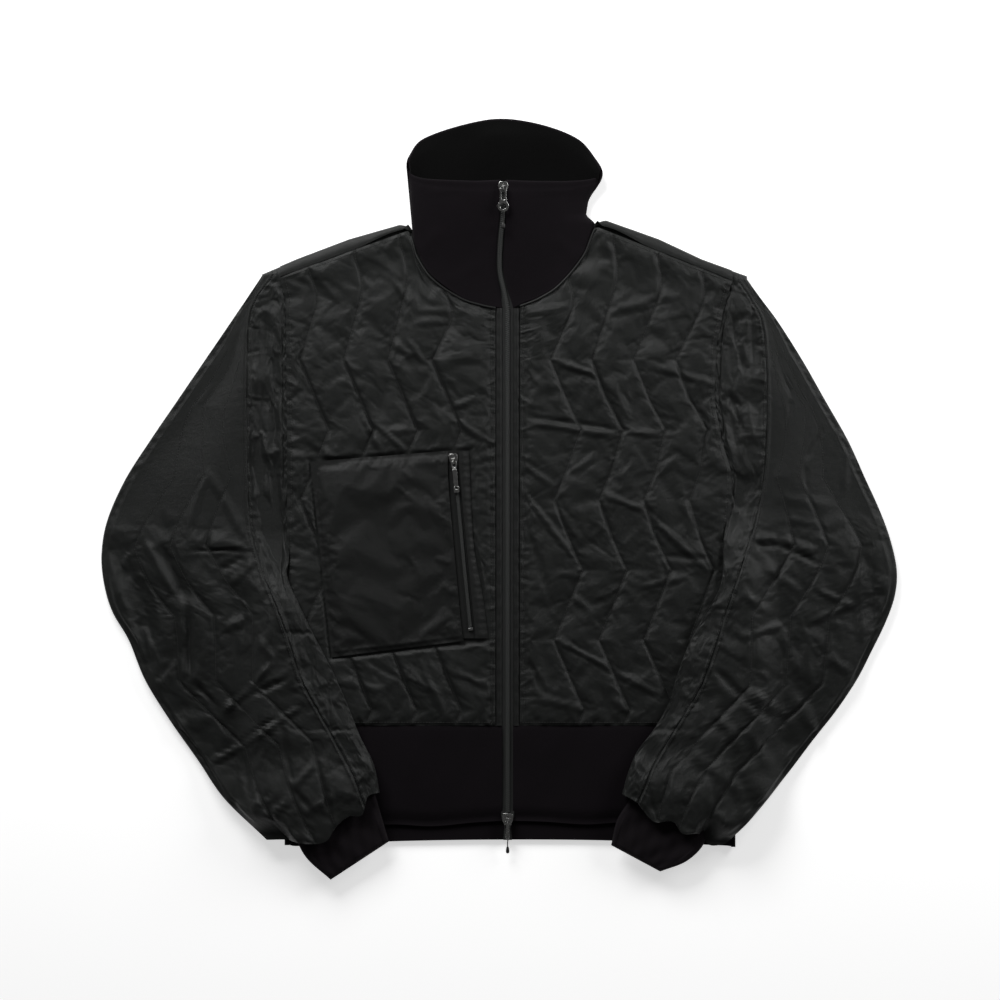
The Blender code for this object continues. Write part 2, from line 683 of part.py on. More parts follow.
def collar_rib(finish, collection):
    """One band round the neck, open at the zip, with its back part lying on the surface."""
    columns = 2 * len(COLLAR) - 1
    entries = [[smooth([(float(i), row[c]) for i, row in enumerate(COLLAR)], k / 2.0) for c in range(8)]
               for k in range(columns)]
    outer, inner = [], []
    for row, level in enumerate(collar_levels()):
        v = row / COLLAR_ROWS
        rise = over(0.0, 1.15, v) / over(0.0, 1.15, 1.0)
        spots = []
        for entry in entries:
            foot, top = Vector(entry[:3]), Vector(entry[3:6])
            spot = foot.lerp(top, v)
            spot.z = max(foot.z + (top.z - foot.z) * rise, 0.0)
            spots.append((spot, Vector((entry[6], 0.0, entry[7]))))
        right_end, left_end = [(Vector((zip_x(level) + reach, level, STITCH_TOP + collar_lift(level))),
                                Vector((0.0, 0.0, -1.0))) for reach in (-TAPE_HALF - GAP, TAPE_HALF + GAP)]
        spots = [right_end] + spots + [left_end]
        out_row, in_row = [], []
        for spot, into in spots:
            out_row.append(tuple(spot))
            in_row.append(tuple(spot + into.normalized() * COLLAR_WALL))
        outer.append(out_row)
        inner.append(in_row)
    return wall("collar_rib", outer, inner, finish, collection)


def hem_rib(finish, collection):
    """One band round the hips, open at the zip, its back part a little longer than its front."""
    right, left = RIGHT_EDGE[-1][1], LEFT_EDGE[-1][1]
    # across, height (0 surface, 1 top), length of the band below its seam
    section = [
        (ZIP_X - TAPE_HALF - GAP, 1.0, 105.0), (-30.0, 1.0, 108.0), (-75.0, 1.0, 114.0), (-120.0, 1.0, 108.0),
        (-170.0, 1.0, 112.0), (-215.0, 1.0, 126.0), (right + 3.0, 0.96, 131.0), (right, 0.5, 132.0),
        (right + 3.0, 0.04, 132.0), (-215.0, 0.0, 133.0), (-120.0, 0.0, 128.0), (0.0, 0.0, 126.0),
        (120.0, 0.0, 127.0), (235.0, 0.0, 132.0), (left - 3.0, 0.04, 133.0), (left, 0.5, 134.0),
        (left - 3.0, 0.96, 132.0), (235.0, 1.0, 128.0), (190.0, 1.0, 114.0), (140.0, 1.0, 107.0),
        (95.0, 1.0, 112.0), (50.0, 1.0, 106.0), (ZIP_X + TAPE_HALF + GAP, 1.0, 105.0),
    ]
    outer, inner = [], []
    for k in range(HEM_ROWS + 1):
        v = k / HEM_ROWS
        out_row, in_row = [], []
        for x, rise, length in section:
            y = HEM_SEAM - GAP - (length - GAP) * v
            swell = 0.35 * math.sin(x * 0.06 + v * 3.0) * (1.0 if rise == 1.0 else 0.0) - 0.35 * (rise == 1.0)
            out_row.append((x, y, rise * RIB_TOP + swell))
            inside = x
            if x < right + 10.0:
                inside = x + HEM_WALL + (1.0 if rise == 0.5 else -1.0)
            elif x > left - 10.0:
                inside = x - HEM_WALL - (1.0 if rise == 0.5 else -1.0)
            in_row.append((inside, y, RIB_TOP / 2.0 + (rise - 0.5) * (RIB_TOP - 2.0 * HEM_WALL)))
        outer.append(out_row)
        inner.append(in_row)
    return wall("hem_rib", outer, inner, finish, collection)


# ---------------------------------------------------------------- zip

def band(name, path, left, right, low, high, finish, collection, crown=0.0):
    """A flat strip along a path of (across, height, lift), between two offsets and two levels."""
    outer, inner = [], []
    offsets = [left, (left + right) / 2.0, right] if crown else [left, right]
    for x, y, lift in path:
        outer.append([(x + d, y, high + lift + (crown if 0 < i < len(offsets) - 1 else 0.0))
                      for i, d in enumerate(offsets)])
        inner.append([(x + d, y, low + lift) for d in offsets])
    return wall(name, outer, inner, finish, collection)


def zip_path(low, high):
    """Points of the zip's middle between two heights, with the collar's own rows."""
    levels = [-242.0, 0.0, NECK_AT_ZIP] + collar_levels()
    levels = sorted({low, high} | {y for y in levels if low < y < high})
    return [(zip_x(y), y, collar_lift(y)) for y in levels]


def front_zip(finish, shell, collection):
    for side, name in ((-1, "right"), (1, "left")):
        left, right = sorted((side * 0.2, side * TAPE_HALF))
        band(f"zip_tape_{name}", zip_path(ZIP_END, ZIP_TOP), left, right, TAPE_LOW, TAPE_TOP, finish,
             collection)
        path = [(ZIP_X, HEM_SEAM + (NECK_AT_ZIP - HEM_SEAM) * k / 6.0, 0.0) for k in range(7)]
        left, right = sorted((side * (TAPE_HALF + GAP), side * (TAPE_HALF + STRIP_WIDTH)))
        band(f"strip_{name}", path, left, right, FRONT_INSIDE, STRIP_TOP, shell, collection,
             crown=STRIP_CROWN)
    band("zip_chain", zip_path(CHAIN_END, ZIP_TOP - SLIDER_LENGTH), -CHAIN_HALF, CHAIN_HALF, CHAIN_LOW,
         CHAIN_LOW + CHAIN_THICK, finish, collection)


def block(name, size, centre):
    """A box as a loose mesh object."""
    bpy.ops.mesh.primitive_cube_add(size=1.0, location=Vector(centre) * MM)
    made = bpy.context.object
    made.name = name
    made.scale = Vector(size) * MM
    bpy.ops.object.transform_apply(location=False, rotation=False, scale=True)
    return made


def rod(name, radius, length, centre, turn=(0.0, math.pi / 2, 0.0), sides=16):
    """A cylinder as a loose mesh object, lying along X unless it is turned."""
    bpy.ops.mesh.primitive_cylinder_add(radius=radius * MM, depth=length * MM, vertices=sides,
                                        location=Vector(centre) * MM, rotation=turn)
    made = bpy.context.object
    made.name = name
    return made


def combine(target, tools, operation="UNION"):
    """Joins or cuts meshes with exact Booleans, and removes the tools."""
    for tool in tools:
        change = target.modifiers.new(tool.name, "BOOLEAN")
        change.operation = operation
        change.object = tool
        change.solver = "EXACT"
    bpy.context.view_layer.update()
    evaluated = target.evaluated_get(bpy.context.evaluated_depsgraph_get())
    mesh = bpy.data.meshes.new_from_object(evaluated)
    target.modifiers.clear()
    target.data = mesh
    for tool in tools:
        bpy.data.objects.remove(tool)
    return target


def settle(made, name, finish, collection, frame):
    """Names a finished hard piece and puts it in its frame (a matrix in metres)."""
    for holder in list(made.users_collection):
        holder.objects.unlink(made)
    collection.objects.link(made)
    made.name = name
    made.data.name = name
    made.data.materials.clear()
    made.data.materials.append(finish)
    made.matrix_world = frame @ made.matrix_world
    made.data.shade_smooth()
    made.data.set_sharp_from_angle(angle=math.radians(35))
    return made


def zip_frame(x, y, z, turn=0.0, tilt=0.0):
    """Frame of a slider or pull at a place, turned about Z and tilted about its own X."""
    return (Matrix.Translation(Vector((x, y, z)) * MM) @ Matrix.Rotation(turn, 4, "Z")
            @ Matrix.Rotation(tilt, 4, "X"))


def slider(name, frame, width, length, finish, collection):
    """Slider body with two ears and the bar that carries its pull. Its frame is at the bar's axis."""
    top = PLATE - BAR_HEIGHT
    plate = block("plate", (width, length, PLATE), (0.0, 0.0, top - PLATE / 2.0))
    crown = [block("crown", (width * 0.6, 2.6, 0.8), (0.0, side * length * 0.34, top + 0.2))
             for side in (-1, 1)]
    ears = [block("ear", (1.0, 2.6, BAR_HEIGHT - PLATE + 1.3), (side * 2.7, 0.0, (top + 0.7) / 2.0))
            for side in (-1, 1)]
    bar = rod("bar", BAR_RADIUS, 5.6, (0.0, 0.0, 0.0), sides=12)
    made = combine(plate, crown + ears + [bar])
    return settle(made, name, finish, collection, frame)


def pull(name, frame, length, finish, collection, ring_at=None, bead_at=None):
    """Pull tab that turns on a slider's bar, pointing down its frame's -Y."""
    thick = 1.4
    eye = rod("eye", EYE_RADIUS, 3.4, (0.0, 0.0, 0.0))
    tab_end = ring_at if ring_at else length
    tab = block("tab", (3.2, tab_end - 1.6, thick), (0.0, -(tab_end + 1.6) / 2.0, 0.0))
    parts = [tab]
    holes = [rod("bore", BAR_RADIUS + 0.4, 8.0, (0.0, 0.0, 0.0))]
    if ring_at:
        ring = rod("ring", 5.4, thick, (0.0, -ring_at - 3.0, 0.0), turn=(0.0, 0.0, 0.0), sides=24)
        parts.append(ring)
        holes.append(rod("keyhole", 3.4, 8.0, (0.0, -ring_at - 3.0, 0.0), turn=(0.0, 0.0, 0.0), sides=20))
    if bead_at:
        start = (ring_at + 8.0) if ring_at else tab_end - 1.0
        parts.append(block("leash", (1.6, bead_at - start, 1.2), (0.0, -(bead_at + start) / 2.0, 0.0)))
        parts.append(block("bead", (3.6, 6.4, 1.9), (0.0, -bead_at, 0.0)))
    made = combine(eye, parts)
    made = combine(made, holes, "DIFFERENCE")
    return settle(made, name, finish, collection, frame)


# ---------------------------------------------------------------- pocket

def across_rows(name, left, right, levels, low, high, finish, collection, columns=2, dome=0.0):
    """A panel between two edges given as rows of (height, across), with a soft dome."""
    outer, inner = [], []
    for row, (y_left, y_right) in enumerate(levels):
        out_row, in_row = [], []
        v = row / (len(levels) - 1)
        for k in range(columns):
            u = k / (columns - 1)
            y = y_left + (y_right - y_left) * u
            x = straight(left, y_left) * (1.0 - u) + straight(right, y_right) * u
            rise = dome * (math.sin(math.pi * u) * math.sin(math.pi * v)) ** 0.5 if dome else 0.0
            rise *= 0.75 + 0.25 * ruck(x * 1.4, y * 1.2)
            out_row.append((x, y, high + rise))
            in_row.append((x, y, low))
        outer.append(out_row)
        inner.append(in_row)
    return wall(name, outer, inner, finish, collection)


def pocket(cloth, tape, metal, collection):
    bed = POCKET_BED + GAP
    chain_low = bed + POCKET_TAPE + GAP
    levels = [tuple(high + (low - high) * k / (POCKET_ROWS - 1) for high, low in POCKET_PATCH_ENDS)
              for k in range(POCKET_ROWS)]
    across_rows("pocket_patch", POCKET_LEFT, POCKET_LIP, levels, bed, POCKET_PATCH_TOP, cloth, collection,
                columns=9, dome=1.5)
    chain_in = [(y, x - POCKET_CHAIN_HALF) for y, x in POCKET_CHAIN]
    chain_out = [(y, x + POCKET_CHAIN_HALF) for y, x in POCKET_CHAIN]
    lip = [(y, x + GAP + 0.1) for y, x in POCKET_LIP]
    strip_in = [(y, x + 4.6) for y, x in POCKET_CHAIN]
    tape_out = [(y, x + 4.2) for y, x in POCKET_CHAIN]
    tape_levels = [(y, y) for y in (54.0, 25.0, -7.0, -47.0, -66.0, -105.0, -142.0, -152.0)]
    across_rows("pocket_tape", lip, tape_out, tape_levels, bed, bed + POCKET_TAPE, tape, collection)
    across_rows("pocket_strip", strip_in, POCKET_STRIP_OUT, tape_levels, bed, POCKET_PATCH_TOP - 0.3, cloth,
                collection, columns=3, dome=0.8)
    chain_levels = [(y, y) for y in (38.0, -7.0, -66.0, -140.0)]
    across_rows("pocket_chain", chain_in, chain_out, chain_levels, chain_low, bed + 2.7, tape, collection)
    stop = block("stop", (5.0, 3.0, 2.0), (straight(POCKET_CHAIN, -142.0), -142.0, chain_low + 1.0))
    settle(stop, "pocket_stop", metal, collection, Matrix.Identity(4))
    turn = math.atan2(4.5, 45.0)
    axis = (straight(POCKET_CHAIN, 45.0) - 0.5, 45.0, chain_low + BAR_HEIGHT)
    slider("pocket_slider", zip_frame(*axis, turn=turn), 7.0, 12.0, metal, collection)
    pull("pocket_pull", zip_frame(*axis, turn=turn, tilt=0.03), 36.0, metal, collection)


def clear_scene():
    for thing in list(bpy.data.objects):
        bpy.data.objects.remove(thing)


def build():
    clear_scene()
    collection = bpy.data.collections.new(JACKET)
    bpy.context.scene.collection.children.link(collection)
    finish = finishes()
    back_panel(finish["shell"], collection)
    for side in (-1, 1):
        front_panel(side, finish["shell"], collection)
        sleeve_top(side, finish["shell"], collection)
        sleeve_front(side, finish["shell"], collection)
        sleeve_under(side, finish["shell"], collection)
        cuff(side, finish["rib"], collection)
    collar_rib(finish["rib"], collection)
    hem_rib(finish["rib"], collection)
    front_zip(finish["tape"], finish["shell"], collection)
    top_y = ZIP_TOP - SLIDER_LENGTH / 2.0 + GAP
    top = (zip_x(top_y), top_y, CHAIN_LOW + BAR_HEIGHT + collar_lift(ZIP_TOP) + GAP)
    slider("top_slider", zip_frame(*top), 10.4, SLIDER_LENGTH - 1.0, finish["metal"], collection)
    pull("top_pull", zip_frame(*top, tilt=0.09), 45.0, finish["metal"], collection, ring_at=15.0,
         bead_at=39.0)
    bottom_y = CHAIN_END - GAP - SLIDER_LENGTH / 2.0
    bottom = (zip_x(bottom_y), bottom_y, RIB_TOP + GAP + BAR_HEIGHT)
    slider("bottom_slider", zip_frame(*bottom), 12.0, SLIDER_LENGTH, finish["metal"], collection)
    pull("bottom_pull", zip_frame(*bottom, tilt=0.17), 36.0, finish["metal"], collection, bead_at=33.0)
    pocket(finish["shell"], finish["tape"], finish["metal"], collection)


build()
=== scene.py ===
"""Finish of the quilted zip jacket: quilted nylon, rib knit, zips, sewing, floor, light and camera.

Lengths are in millimetres until a mesh is made. X runs across the jacket, Y from hem to collar and Z up from
the surface it lies on. Right and left are the wearer's: the right side has negative X.
"""

import math

import bmesh
import bpy
import numpy as np
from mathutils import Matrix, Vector
from mathutils.geometry import delaunay_2d_cdt


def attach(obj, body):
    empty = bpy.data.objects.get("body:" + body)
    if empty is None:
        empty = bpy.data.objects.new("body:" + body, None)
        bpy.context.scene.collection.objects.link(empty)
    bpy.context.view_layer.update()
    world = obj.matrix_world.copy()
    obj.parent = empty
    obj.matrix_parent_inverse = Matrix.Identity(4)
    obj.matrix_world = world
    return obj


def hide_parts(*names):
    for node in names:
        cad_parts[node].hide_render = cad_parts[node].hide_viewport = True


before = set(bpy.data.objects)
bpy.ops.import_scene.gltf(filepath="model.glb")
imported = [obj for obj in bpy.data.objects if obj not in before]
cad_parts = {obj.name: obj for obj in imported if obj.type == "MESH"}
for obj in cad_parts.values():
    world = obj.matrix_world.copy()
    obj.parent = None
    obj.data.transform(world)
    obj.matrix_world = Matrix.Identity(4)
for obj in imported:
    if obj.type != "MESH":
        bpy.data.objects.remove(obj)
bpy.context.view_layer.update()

MM = 0.001
UP = np.array((0.0, 0.0, 1.0))
SETTLE_LIMIT = 4.0
SIDES = {-1: "right", 1: "left"}
# The inner side of the collar is marked by this step in its flat length, in metres, so that its finish paints
# it at its darkest colour as painted shade.
SHADED_INSIDE_STEP = 10.0

# Gaps and wall levels, from the surface upwards.
GAP = 0.3
BACK_WALL = 5.0
FRONT_INSIDE = BACK_WALL + GAP
STITCH_TOP = 9.0
POCKET_BED = 10.0
BODY_TOP = 14.6
RIB_TOP = 9.4

# Chevron quilting: upright zigzag lines, one corner every ZIG_STEP of height.
ZIG_STEP = 77.0
ZIG_LEAN = 32.0
PITCH = 48.5
FIRST_LINE = 4.5
FRONT_WIDTH = 229.0
FRONT_LINES = 5
PER_PITCH = 15
PER_ZIG = 24
NECK_ROWS = 38
BACK_WIDTH = 490.0
MORPH_FROM = 2.0 * ZIG_STEP
HEM_SEAM = -248.0

# Front zip.
ZIP_X = 8.4
TAPE_HALF = 5.5
STRIP_WIDTH = 7.6
ZIP_TOP = 349.0
ZIP_END = -374.0
SLIDER_LENGTH = 13.0
NECK_AT_ZIP = 211.0
TAPE_LOW = FRONT_INSIDE + 1.7
TAPE_TOP = FRONT_INSIDE + 2.6
CHAIN_LOW = TAPE_TOP + GAP
CHAIN_THICK = 2.2
CHAIN_END = -344.0
STRIP_TOP = STITCH_TOP - 0.6

# Sewing thread.
STITCH_PITCH = 3.1
STITCH_RADIUS = 0.34
STITCH_LIFT = 0.12

# Collar and hem band.
COLLAR_LIFT = 17.0
COLLAR_WALL = 3.6
HEM_WALL = 3.8

# Sleeves.
SLEEVE_UNDER = 4.0
SLEEVE_INSIDE = SLEEVE_UNDER + 2.0 * GAP
SLEEVE_STITCH = 3.4
SLEEVE_RELIEF = 2.2
ON_BODY = 15.0
ON_RIB = 10.6
FOLD_LAP = 18.0
INNER_LAP = 10.0
RAMP_SLACK = 4.2
FREE_ROWS = 12
SLEEVE_LINES = 4
PER_SLEEVE_LINE = 13
BEND_POINTS = 15
CUFF_ROOM = 8.6
ROWS_PER_STEP = 3
ROW = ZIG_STEP / ROWS_PER_STEP
MORPH_ROWS = 4
UNDERARM = {-1: -52.0, 1: -26.0}
PER_ROW = 8
CUFF_WALL = 2.8
CUFF_THICK = 6.4

# Body edge, from the shoulder point down the armhole and the side seam: height, distance out.
EDGE = {
    -1: [(245, -242), (222, -236), (154, -235), (0, -234), (-62, -235), (-120, -236), (-248, -237)],
    1: [
        (241, 255), (209, 246), (170, 238), (110, 236), (66, 244), (33, 254), (0, 255), (-44, 249),
        (-100, 252), (-248, 259),
    ],
}
# Top edge of each front, from the zip along the neck seam and the shoulder seam: across, height.
TOP = {
    -1: [(-5, 211), (-20, 214), (-44, 222), (-77, 245), (-93, 270), (-101, 296), (-160, 275), (-242, 245)],
    1: [(22, 213), (44, 222), (66, 237), (93, 270), (107, 300), (165, 277), (255, 241)],
}
# Shoulder fold, seen from above: across, height.
SHOULDER_FOLD = [(-261, 249), (-224, 265), (-166, 287), (-110, 303), (-96, 300), (100, 303), (116, 308),
                 (175, 287), (222, 265), (274, 246)]
BACK_NECK = [(-97, 294), (-60, 285.5), (0, 282.5), (64, 286), (103, 296.5)]
# Where the neck seam meets each shoulder seam, across.
NECK_CORNER = {-1: TOP[-1][5][0], 1: TOP[1][4][0]}
# Sleeves from shoulder to cuff: inner_y, inner_x, seam_x, seam_y, outer_x, outer_y.
SLEEVE = {
    -1: [
        (245, -243, -250, 247, -262, 247), (222, -236, -268, 222, -280, 220),
        (198, -235, -276, 198, -295, 198), (154, -235, -278, 154, -325, 154),
        (110, -235, -278, 110, -355, 110), (66, -234, -278, 66, -385, 66),
        (22, -234, -277, 22, -413, 22), (-22, -234, -275, -22, -433, -24), (-57, -235, -268, -53, -439, -62),
        (-80, -237, -258, -85, -436, -93), (-110, -223, -245, -115, -427, -123),
        (-145, -206, -231, -154, -409, -154), (-185, -185, -217, -198, -391, -198),
        (-223, -168, -198, -233, -364, -242), (-260, -153, -178, -269, -333, -286),
        (-291, -138, -160, -302, -302, -330), (-320, -132, -150, -330, -256, -373),
    ],
    1: [
        (241, 257, 263, 241, 272, 243), (220, 250, 276, 221, 287, 222), (198, 243, 288, 198, 305, 198),
        (154, 237, 293, 154, 333, 154), (110, 236, 294, 110, 358, 110), (66, 244, 293, 66, 383, 66),
        (22, 254, 290, 22, 403, 22), (-11, 254, 284, -11, 418, -11), (-44, 249, 275, -42, 430, -44),
        (-71, 246, 266, -68, 437, -77), (-99, 240, 255, -99, 435, -105), (-130, 222, 244, -134, 425, -134),
        (-163, 205, 233, -170, 409, -167), (-196, 193, 220, -204, 393, -198),
        (-223, 185, 204, -231, 371, -231), (-251, 169, 185, -262, 345, -264),
        (-275, 151, 167, -291, 311, -308), (-297, 141, 160, -310, 273, -352),
        (-322, 134, 154, -325, 247, -378),
    ],
}
# How far the gathered end of each sleeve hangs past a straight line, from outer to inner fold.
END_DROP = {
    -1: [(0.0, 0), (0.15, 8), (0.3, 20), (0.45, 25), (0.56, 15), (0.7, 9), (0.8, 13), (0.9, -2), (1.0, 0)],
    1: [(0.0, 0), (0.12, 9), (0.25, 4), (0.38, 12), (0.5, 6), (0.64, 16), (0.78, 11), (0.9, 4), (1.0, 0)],
}
# Cuffs, from inside the sleeve to the open end: inner_x, inner_y, outer_x, outer_y, height of the underside.
CUFF = {
    -1: [(-142, -308, -226, -346, 15.2), (-136, -326, -224, -369, 15.2), (-129, -350, -212, -393, 15.0),
         (-122, -375, -186, -417, 11.0)],
    1: [(150, -314, 222, -354, 15.2), (140, -332, 224, -376, 15.2), (128, -352, 205, -396, 15.0),
        (122, -379, 176, -408, 11.0)],
}
# Ribbed collar round the neck from the zip: foot_x, foot_y, foot_z, top_x, top_y, top_z, into_x, into_z.
COLLAR = [
    (-20, 215.4, 9.2, -26, 348, 25.2, 0, -1), (-44, 224.2, 9.5, -52, 349, 23.4, 0, -1),
    (-75.5, 247.6, 9.8, -80, 351, 19.0, 0, -1), (-90, 271.5, 9.6, -95, 355, 14.0, 0.25, -1),
    (-95.5, 289, 7.6, -101, 361, 9.6, 0.8, -0.5), (-96.3, 299, 4.6, -103, 368, 5.2, 1, 0),
    (-92, 299, 0.8, -100, 378, 0.8, 0.8, 0.8), (-66, 291, 0, -85, 395, 0, 0, 1),
    (-30, 286, 0, -44, 410, 0, 0, 1), (3, 285, 0, 0, 417.5, 0, 0, 1), (38, 286, 0, 46, 411, 0, 0, 1),
    (72, 291, 0, 86, 395, 0, 0, 1),
    (97, 300, 0.8, 107, 372, 0.8, -0.8, 0.8), (103, 302, 4.6, 113, 360, 5.2, -1, 0),
    (102, 292, 7.6, 110, 355, 9.6, -0.8, -0.5), (91.5, 271, 9.6, 99, 351, 14.0, -0.25, -1),
    (66, 239, 9.8, 76, 348.5, 19.0, 0, -1), (44, 224, 9.5, 52, 348, 23.4, 0, -1),
    (28, 217.8, 9.2, 30, 348, 25.2, 0, -1),
]
# Hem band round the hips from the zip: across, height (0 surface, 1 top), length below its seam.
HEM = [
    (ZIP_X - TAPE_HALF - GAP, 1.0, 105.0), (-30.0, 1.0, 107.0), (-75.0, 1.0, 111.0), (-120.0, 1.0, 109.0),
    (-170.0, 1.0, 113.0), (-215.0, 1.0, 126.0), (-234.0, 0.96, 131.0), (-237.0, 0.5, 132.0),
    (-234.0, 0.04, 132.0), (-215.0, 0.0, 133.0), (-120.0, 0.0, 128.0), (0.0, 0.0, 126.0),
    (120.0, 0.0, 127.0), (235.0, 0.0, 132.0), (256.0, 0.04, 133.0), (259.0, 0.5, 134.0),
    (256.0, 0.96, 132.0), (235.0, 1.0, 128.0), (190.0, 1.0, 114.0), (140.0, 1.0, 107.0),
    (95.0, 1.0, 109.0), (50.0, 1.0, 106.0), (ZIP_X + TAPE_HALF + GAP, 1.0, 105.0),
]
# Width of the view in metres, and the level of the cloth at which it is that wide.
VIEW_WIDTH = 1.1
VIEW_LEVEL = 0.008
# Pocket on the right front: height, across.
POCKET_LEFT = [(40, -208), (-173, -185)]
POCKET_LIP = [(54, -57), (25, -57), (-47, -51), (-142, -42), (-155, -40)]
POCKET_CHAIN = [(38, -50), (-7, -45.5), (-66, -40), (-146, -32)]
POCKET_STRIP_OUT = [(54, -34), (-47, -29), (-105, -19), (-151, -13)]
POCKET_PATCH_TOP = 12.8
POCKET_PATCH_ENDS = ((42.0, -173.0), (54.0, -155.0))
POCKET_STRIP_ENDS = ((54.0, -152.0), (54.0, -152.0))
POCKET_FLOOR = POCKET_BED + GAP
POCKET_SIZE = (150.0, 210.0)


# ---------------------------------------------------------------- curves and grids

def over(low, high, value):
    """Smooth rise from 0 at low to 1 at high."""
    t = np.clip((np.asarray(value, float) - low) / (high - low), 0.0, 1.0)
    return t * t * (3.0 - 2.0 * t)


def straight(rows, at):
    """Value at a place on straight lines through rows of (place, value)."""
    places, values = np.array(sorted(rows), float).T
    return np.interp(at, places, values)


def smooth(rows, at):
    """Value at a place on a soft curve through rows of (place, value)."""
    places, values = np.array(sorted(rows), float).T
    last = len(places) - 1
    at = np.clip(np.asarray(at, float), places[0], places[-1])
    i = np.clip(np.searchsorted(places, at, side="right") - 1, 0, last - 1)
    ahead = np.minimum(np.arange(last + 1) + 1, last)
    behind = np.maximum(np.arange(last + 1) - 1, 0)
    slopes = (values[ahead] - values[behind]) / (places[ahead] - places[behind])
    reach = places[i + 1] - places[i]
    t = (at - places[i]) / reach
    return ((2 * t**3 - 3 * t**2 + 1) * values[i] + (t**3 - 2 * t**2 + t) * reach * slopes[i]
            + (3 * t**2 - 2 * t**3) * values[i + 1] + (t**3 - t**2) * reach * slopes[i + 1])


def through(rows, at):
    """Rows of several numbers each, read at fractional row numbers along a soft curve."""
    table = np.array(rows, float)
    count = np.arange(len(table))
    return np.stack([smooth(list(zip(count, column)), at) for column in table.T], axis=-1)


def zigzag(steps):
    t = np.mod(steps, 2.0)
    return np.where(t < 1.0, t, 2.0 - t)


def finer(grid, axis):
    """Twice the points along one way of a grid, on soft curves through the old ones."""
    rows = np.moveaxis(grid, axis, 0)
    wide = np.concatenate([2 * rows[:1] - rows[1:2], rows, 2 * rows[-1:] - rows[-2:-1]])
    middle = (9.0 * (wide[1:-2] + wide[2:-1]) - wide[:-3] - wide[3:]) / 16.0
    dense = np.empty((2 * len(rows) - 1, *rows.shape[1:]))
    dense[::2], dense[1::2] = rows, middle
    return np.moveaxis(dense, 0, axis)


def fine(grid):
    return finer(finer(grid, 0), 1)


def fine_values(values):
    """A grid of single values at twice the points both ways."""
    return fine(values[..., None])[..., 0]


def levelled(grid, height):
    """The same grid laid flat at one height."""
    flat = grid.copy()
    flat[..., 2] = height
    return flat


def unit(rows):
    """Rows of a table scaled to a length of 1."""
    return rows / np.linalg.norm(rows, axis=1, keepdims=True)


def lengths(grid, axis):
    """Mean length of cloth from the first point to each point along one way of a grid."""
    step = np.linalg.norm(np.diff(grid, axis=axis), axis=2).mean(axis=1 - axis)
    return np.concatenate([[0.0], np.cumsum(step)])


# ---------------------------------------------------------------- creases and wadding

def tent(x, y, row):
    """One straight soft fold between two places: a ridge if its height is above 0, a trough if below."""
    x0, y0, x1, y1, half, height = row
    long = math.hypot(x1 - x0, y1 - y0)
    ux, uy = (x1 - x0) / long, (y1 - y0) / long
    along = ((x - x0) * ux + (y - y0) * uy) / long
    across = np.abs((y - y0) * ux - (x - x0) * uy)
    across = across + 0.12 * half * np.sin(along * 9.0 + x0)
    shape = np.clip(1.0 - across / half, 0.0, 1.0)
    return height * shape * over(-0.06, 0.3, along) * over(1.06, 0.7, along)


def creases(x, y, rows):
    total = np.zeros_like(x)
    for row in rows:
        total += tent(x, y, row)
    return total


def paper(x, y, seed, size, turn=0.0, stretch=1.0):
    """Heights from -0.5 to 0.5 of stiff thin cloth: flat facets of chance size, meeting at crisp edges."""
    dice = np.random.default_rng(seed)
    step = max(size / 16.0, 0.6)
    u = x * math.cos(turn) + y * math.sin(turn)
    v = (y * math.cos(turn) - x * math.sin(turn)) / stretch
    u, v = u - u.min() + size, v - v.min() + size
    cells = (int(u.max() / size) + 3, int(v.max() / size) + 3)
    spots = np.stack(np.meshgrid(np.arange(cells[0]), np.arange(cells[1]), indexing="ij"), -1).reshape(-1, 2)
    spots = (spots + dice.uniform(-0.42, 0.42, spots.shape)) * size
    rise = dice.uniform(-0.5, 0.5, len(spots))
    points, _, faces, origins = delaunay_2d_cdt([Vector(spot) for spot in spots], [], [], 0, 1e-5)[:4]
    points = np.array([point[:] for point in points])
    heights = np.array([rise[origin[0]] for origin in origins])
    board = np.zeros((int(cells[0] * size / step) + 2, int(cells[1] * size / step) + 2))
    for face in faces:
        (ax, ay), (bx, by), (cx, cy) = points[face]
        area = (bx - ax) * (cy - ay) - (cx - ax) * (by - ay)
        low = np.maximum(np.floor(points[face].min(axis=0) / step).astype(int), 0)
        high = np.minimum(np.ceil(points[face].max(axis=0) / step).astype(int) + 1, board.shape)
        if abs(area) < 1e-9 or (high <= low).any():
            continue
        gu, gv = np.meshgrid(*(np.arange(low[k], high[k]) * step for k in (0, 1)), indexing="ij")
        second = ((gu - ax) * (cy - ay) - (cx - ax) * (gv - ay)) / area
        third = ((bx - ax) * (gv - ay) - (gu - ax) * (by - ay)) / area
        inside = (second >= -1e-6) & (third >= -1e-6) & (second + third <= 1.0 + 1e-6)
        first, other, last = heights[face]
        level = first + (other - first) * second + (last - first) * third
        window = board[low[0]:high[0], low[1]:high[1]]
        window[inside] = level[inside]
    at_u, at_v = u / step, v / step
    i, j = at_u.astype(int), at_v.astype(int)
    p, q = at_u - i, at_v - j
    return ((board[i, j] * (1 - p) + board[i + 1, j] * p) * (1 - q)
            + (board[i, j + 1] * (1 - p) + board[i + 1, j + 1] * p) * q)


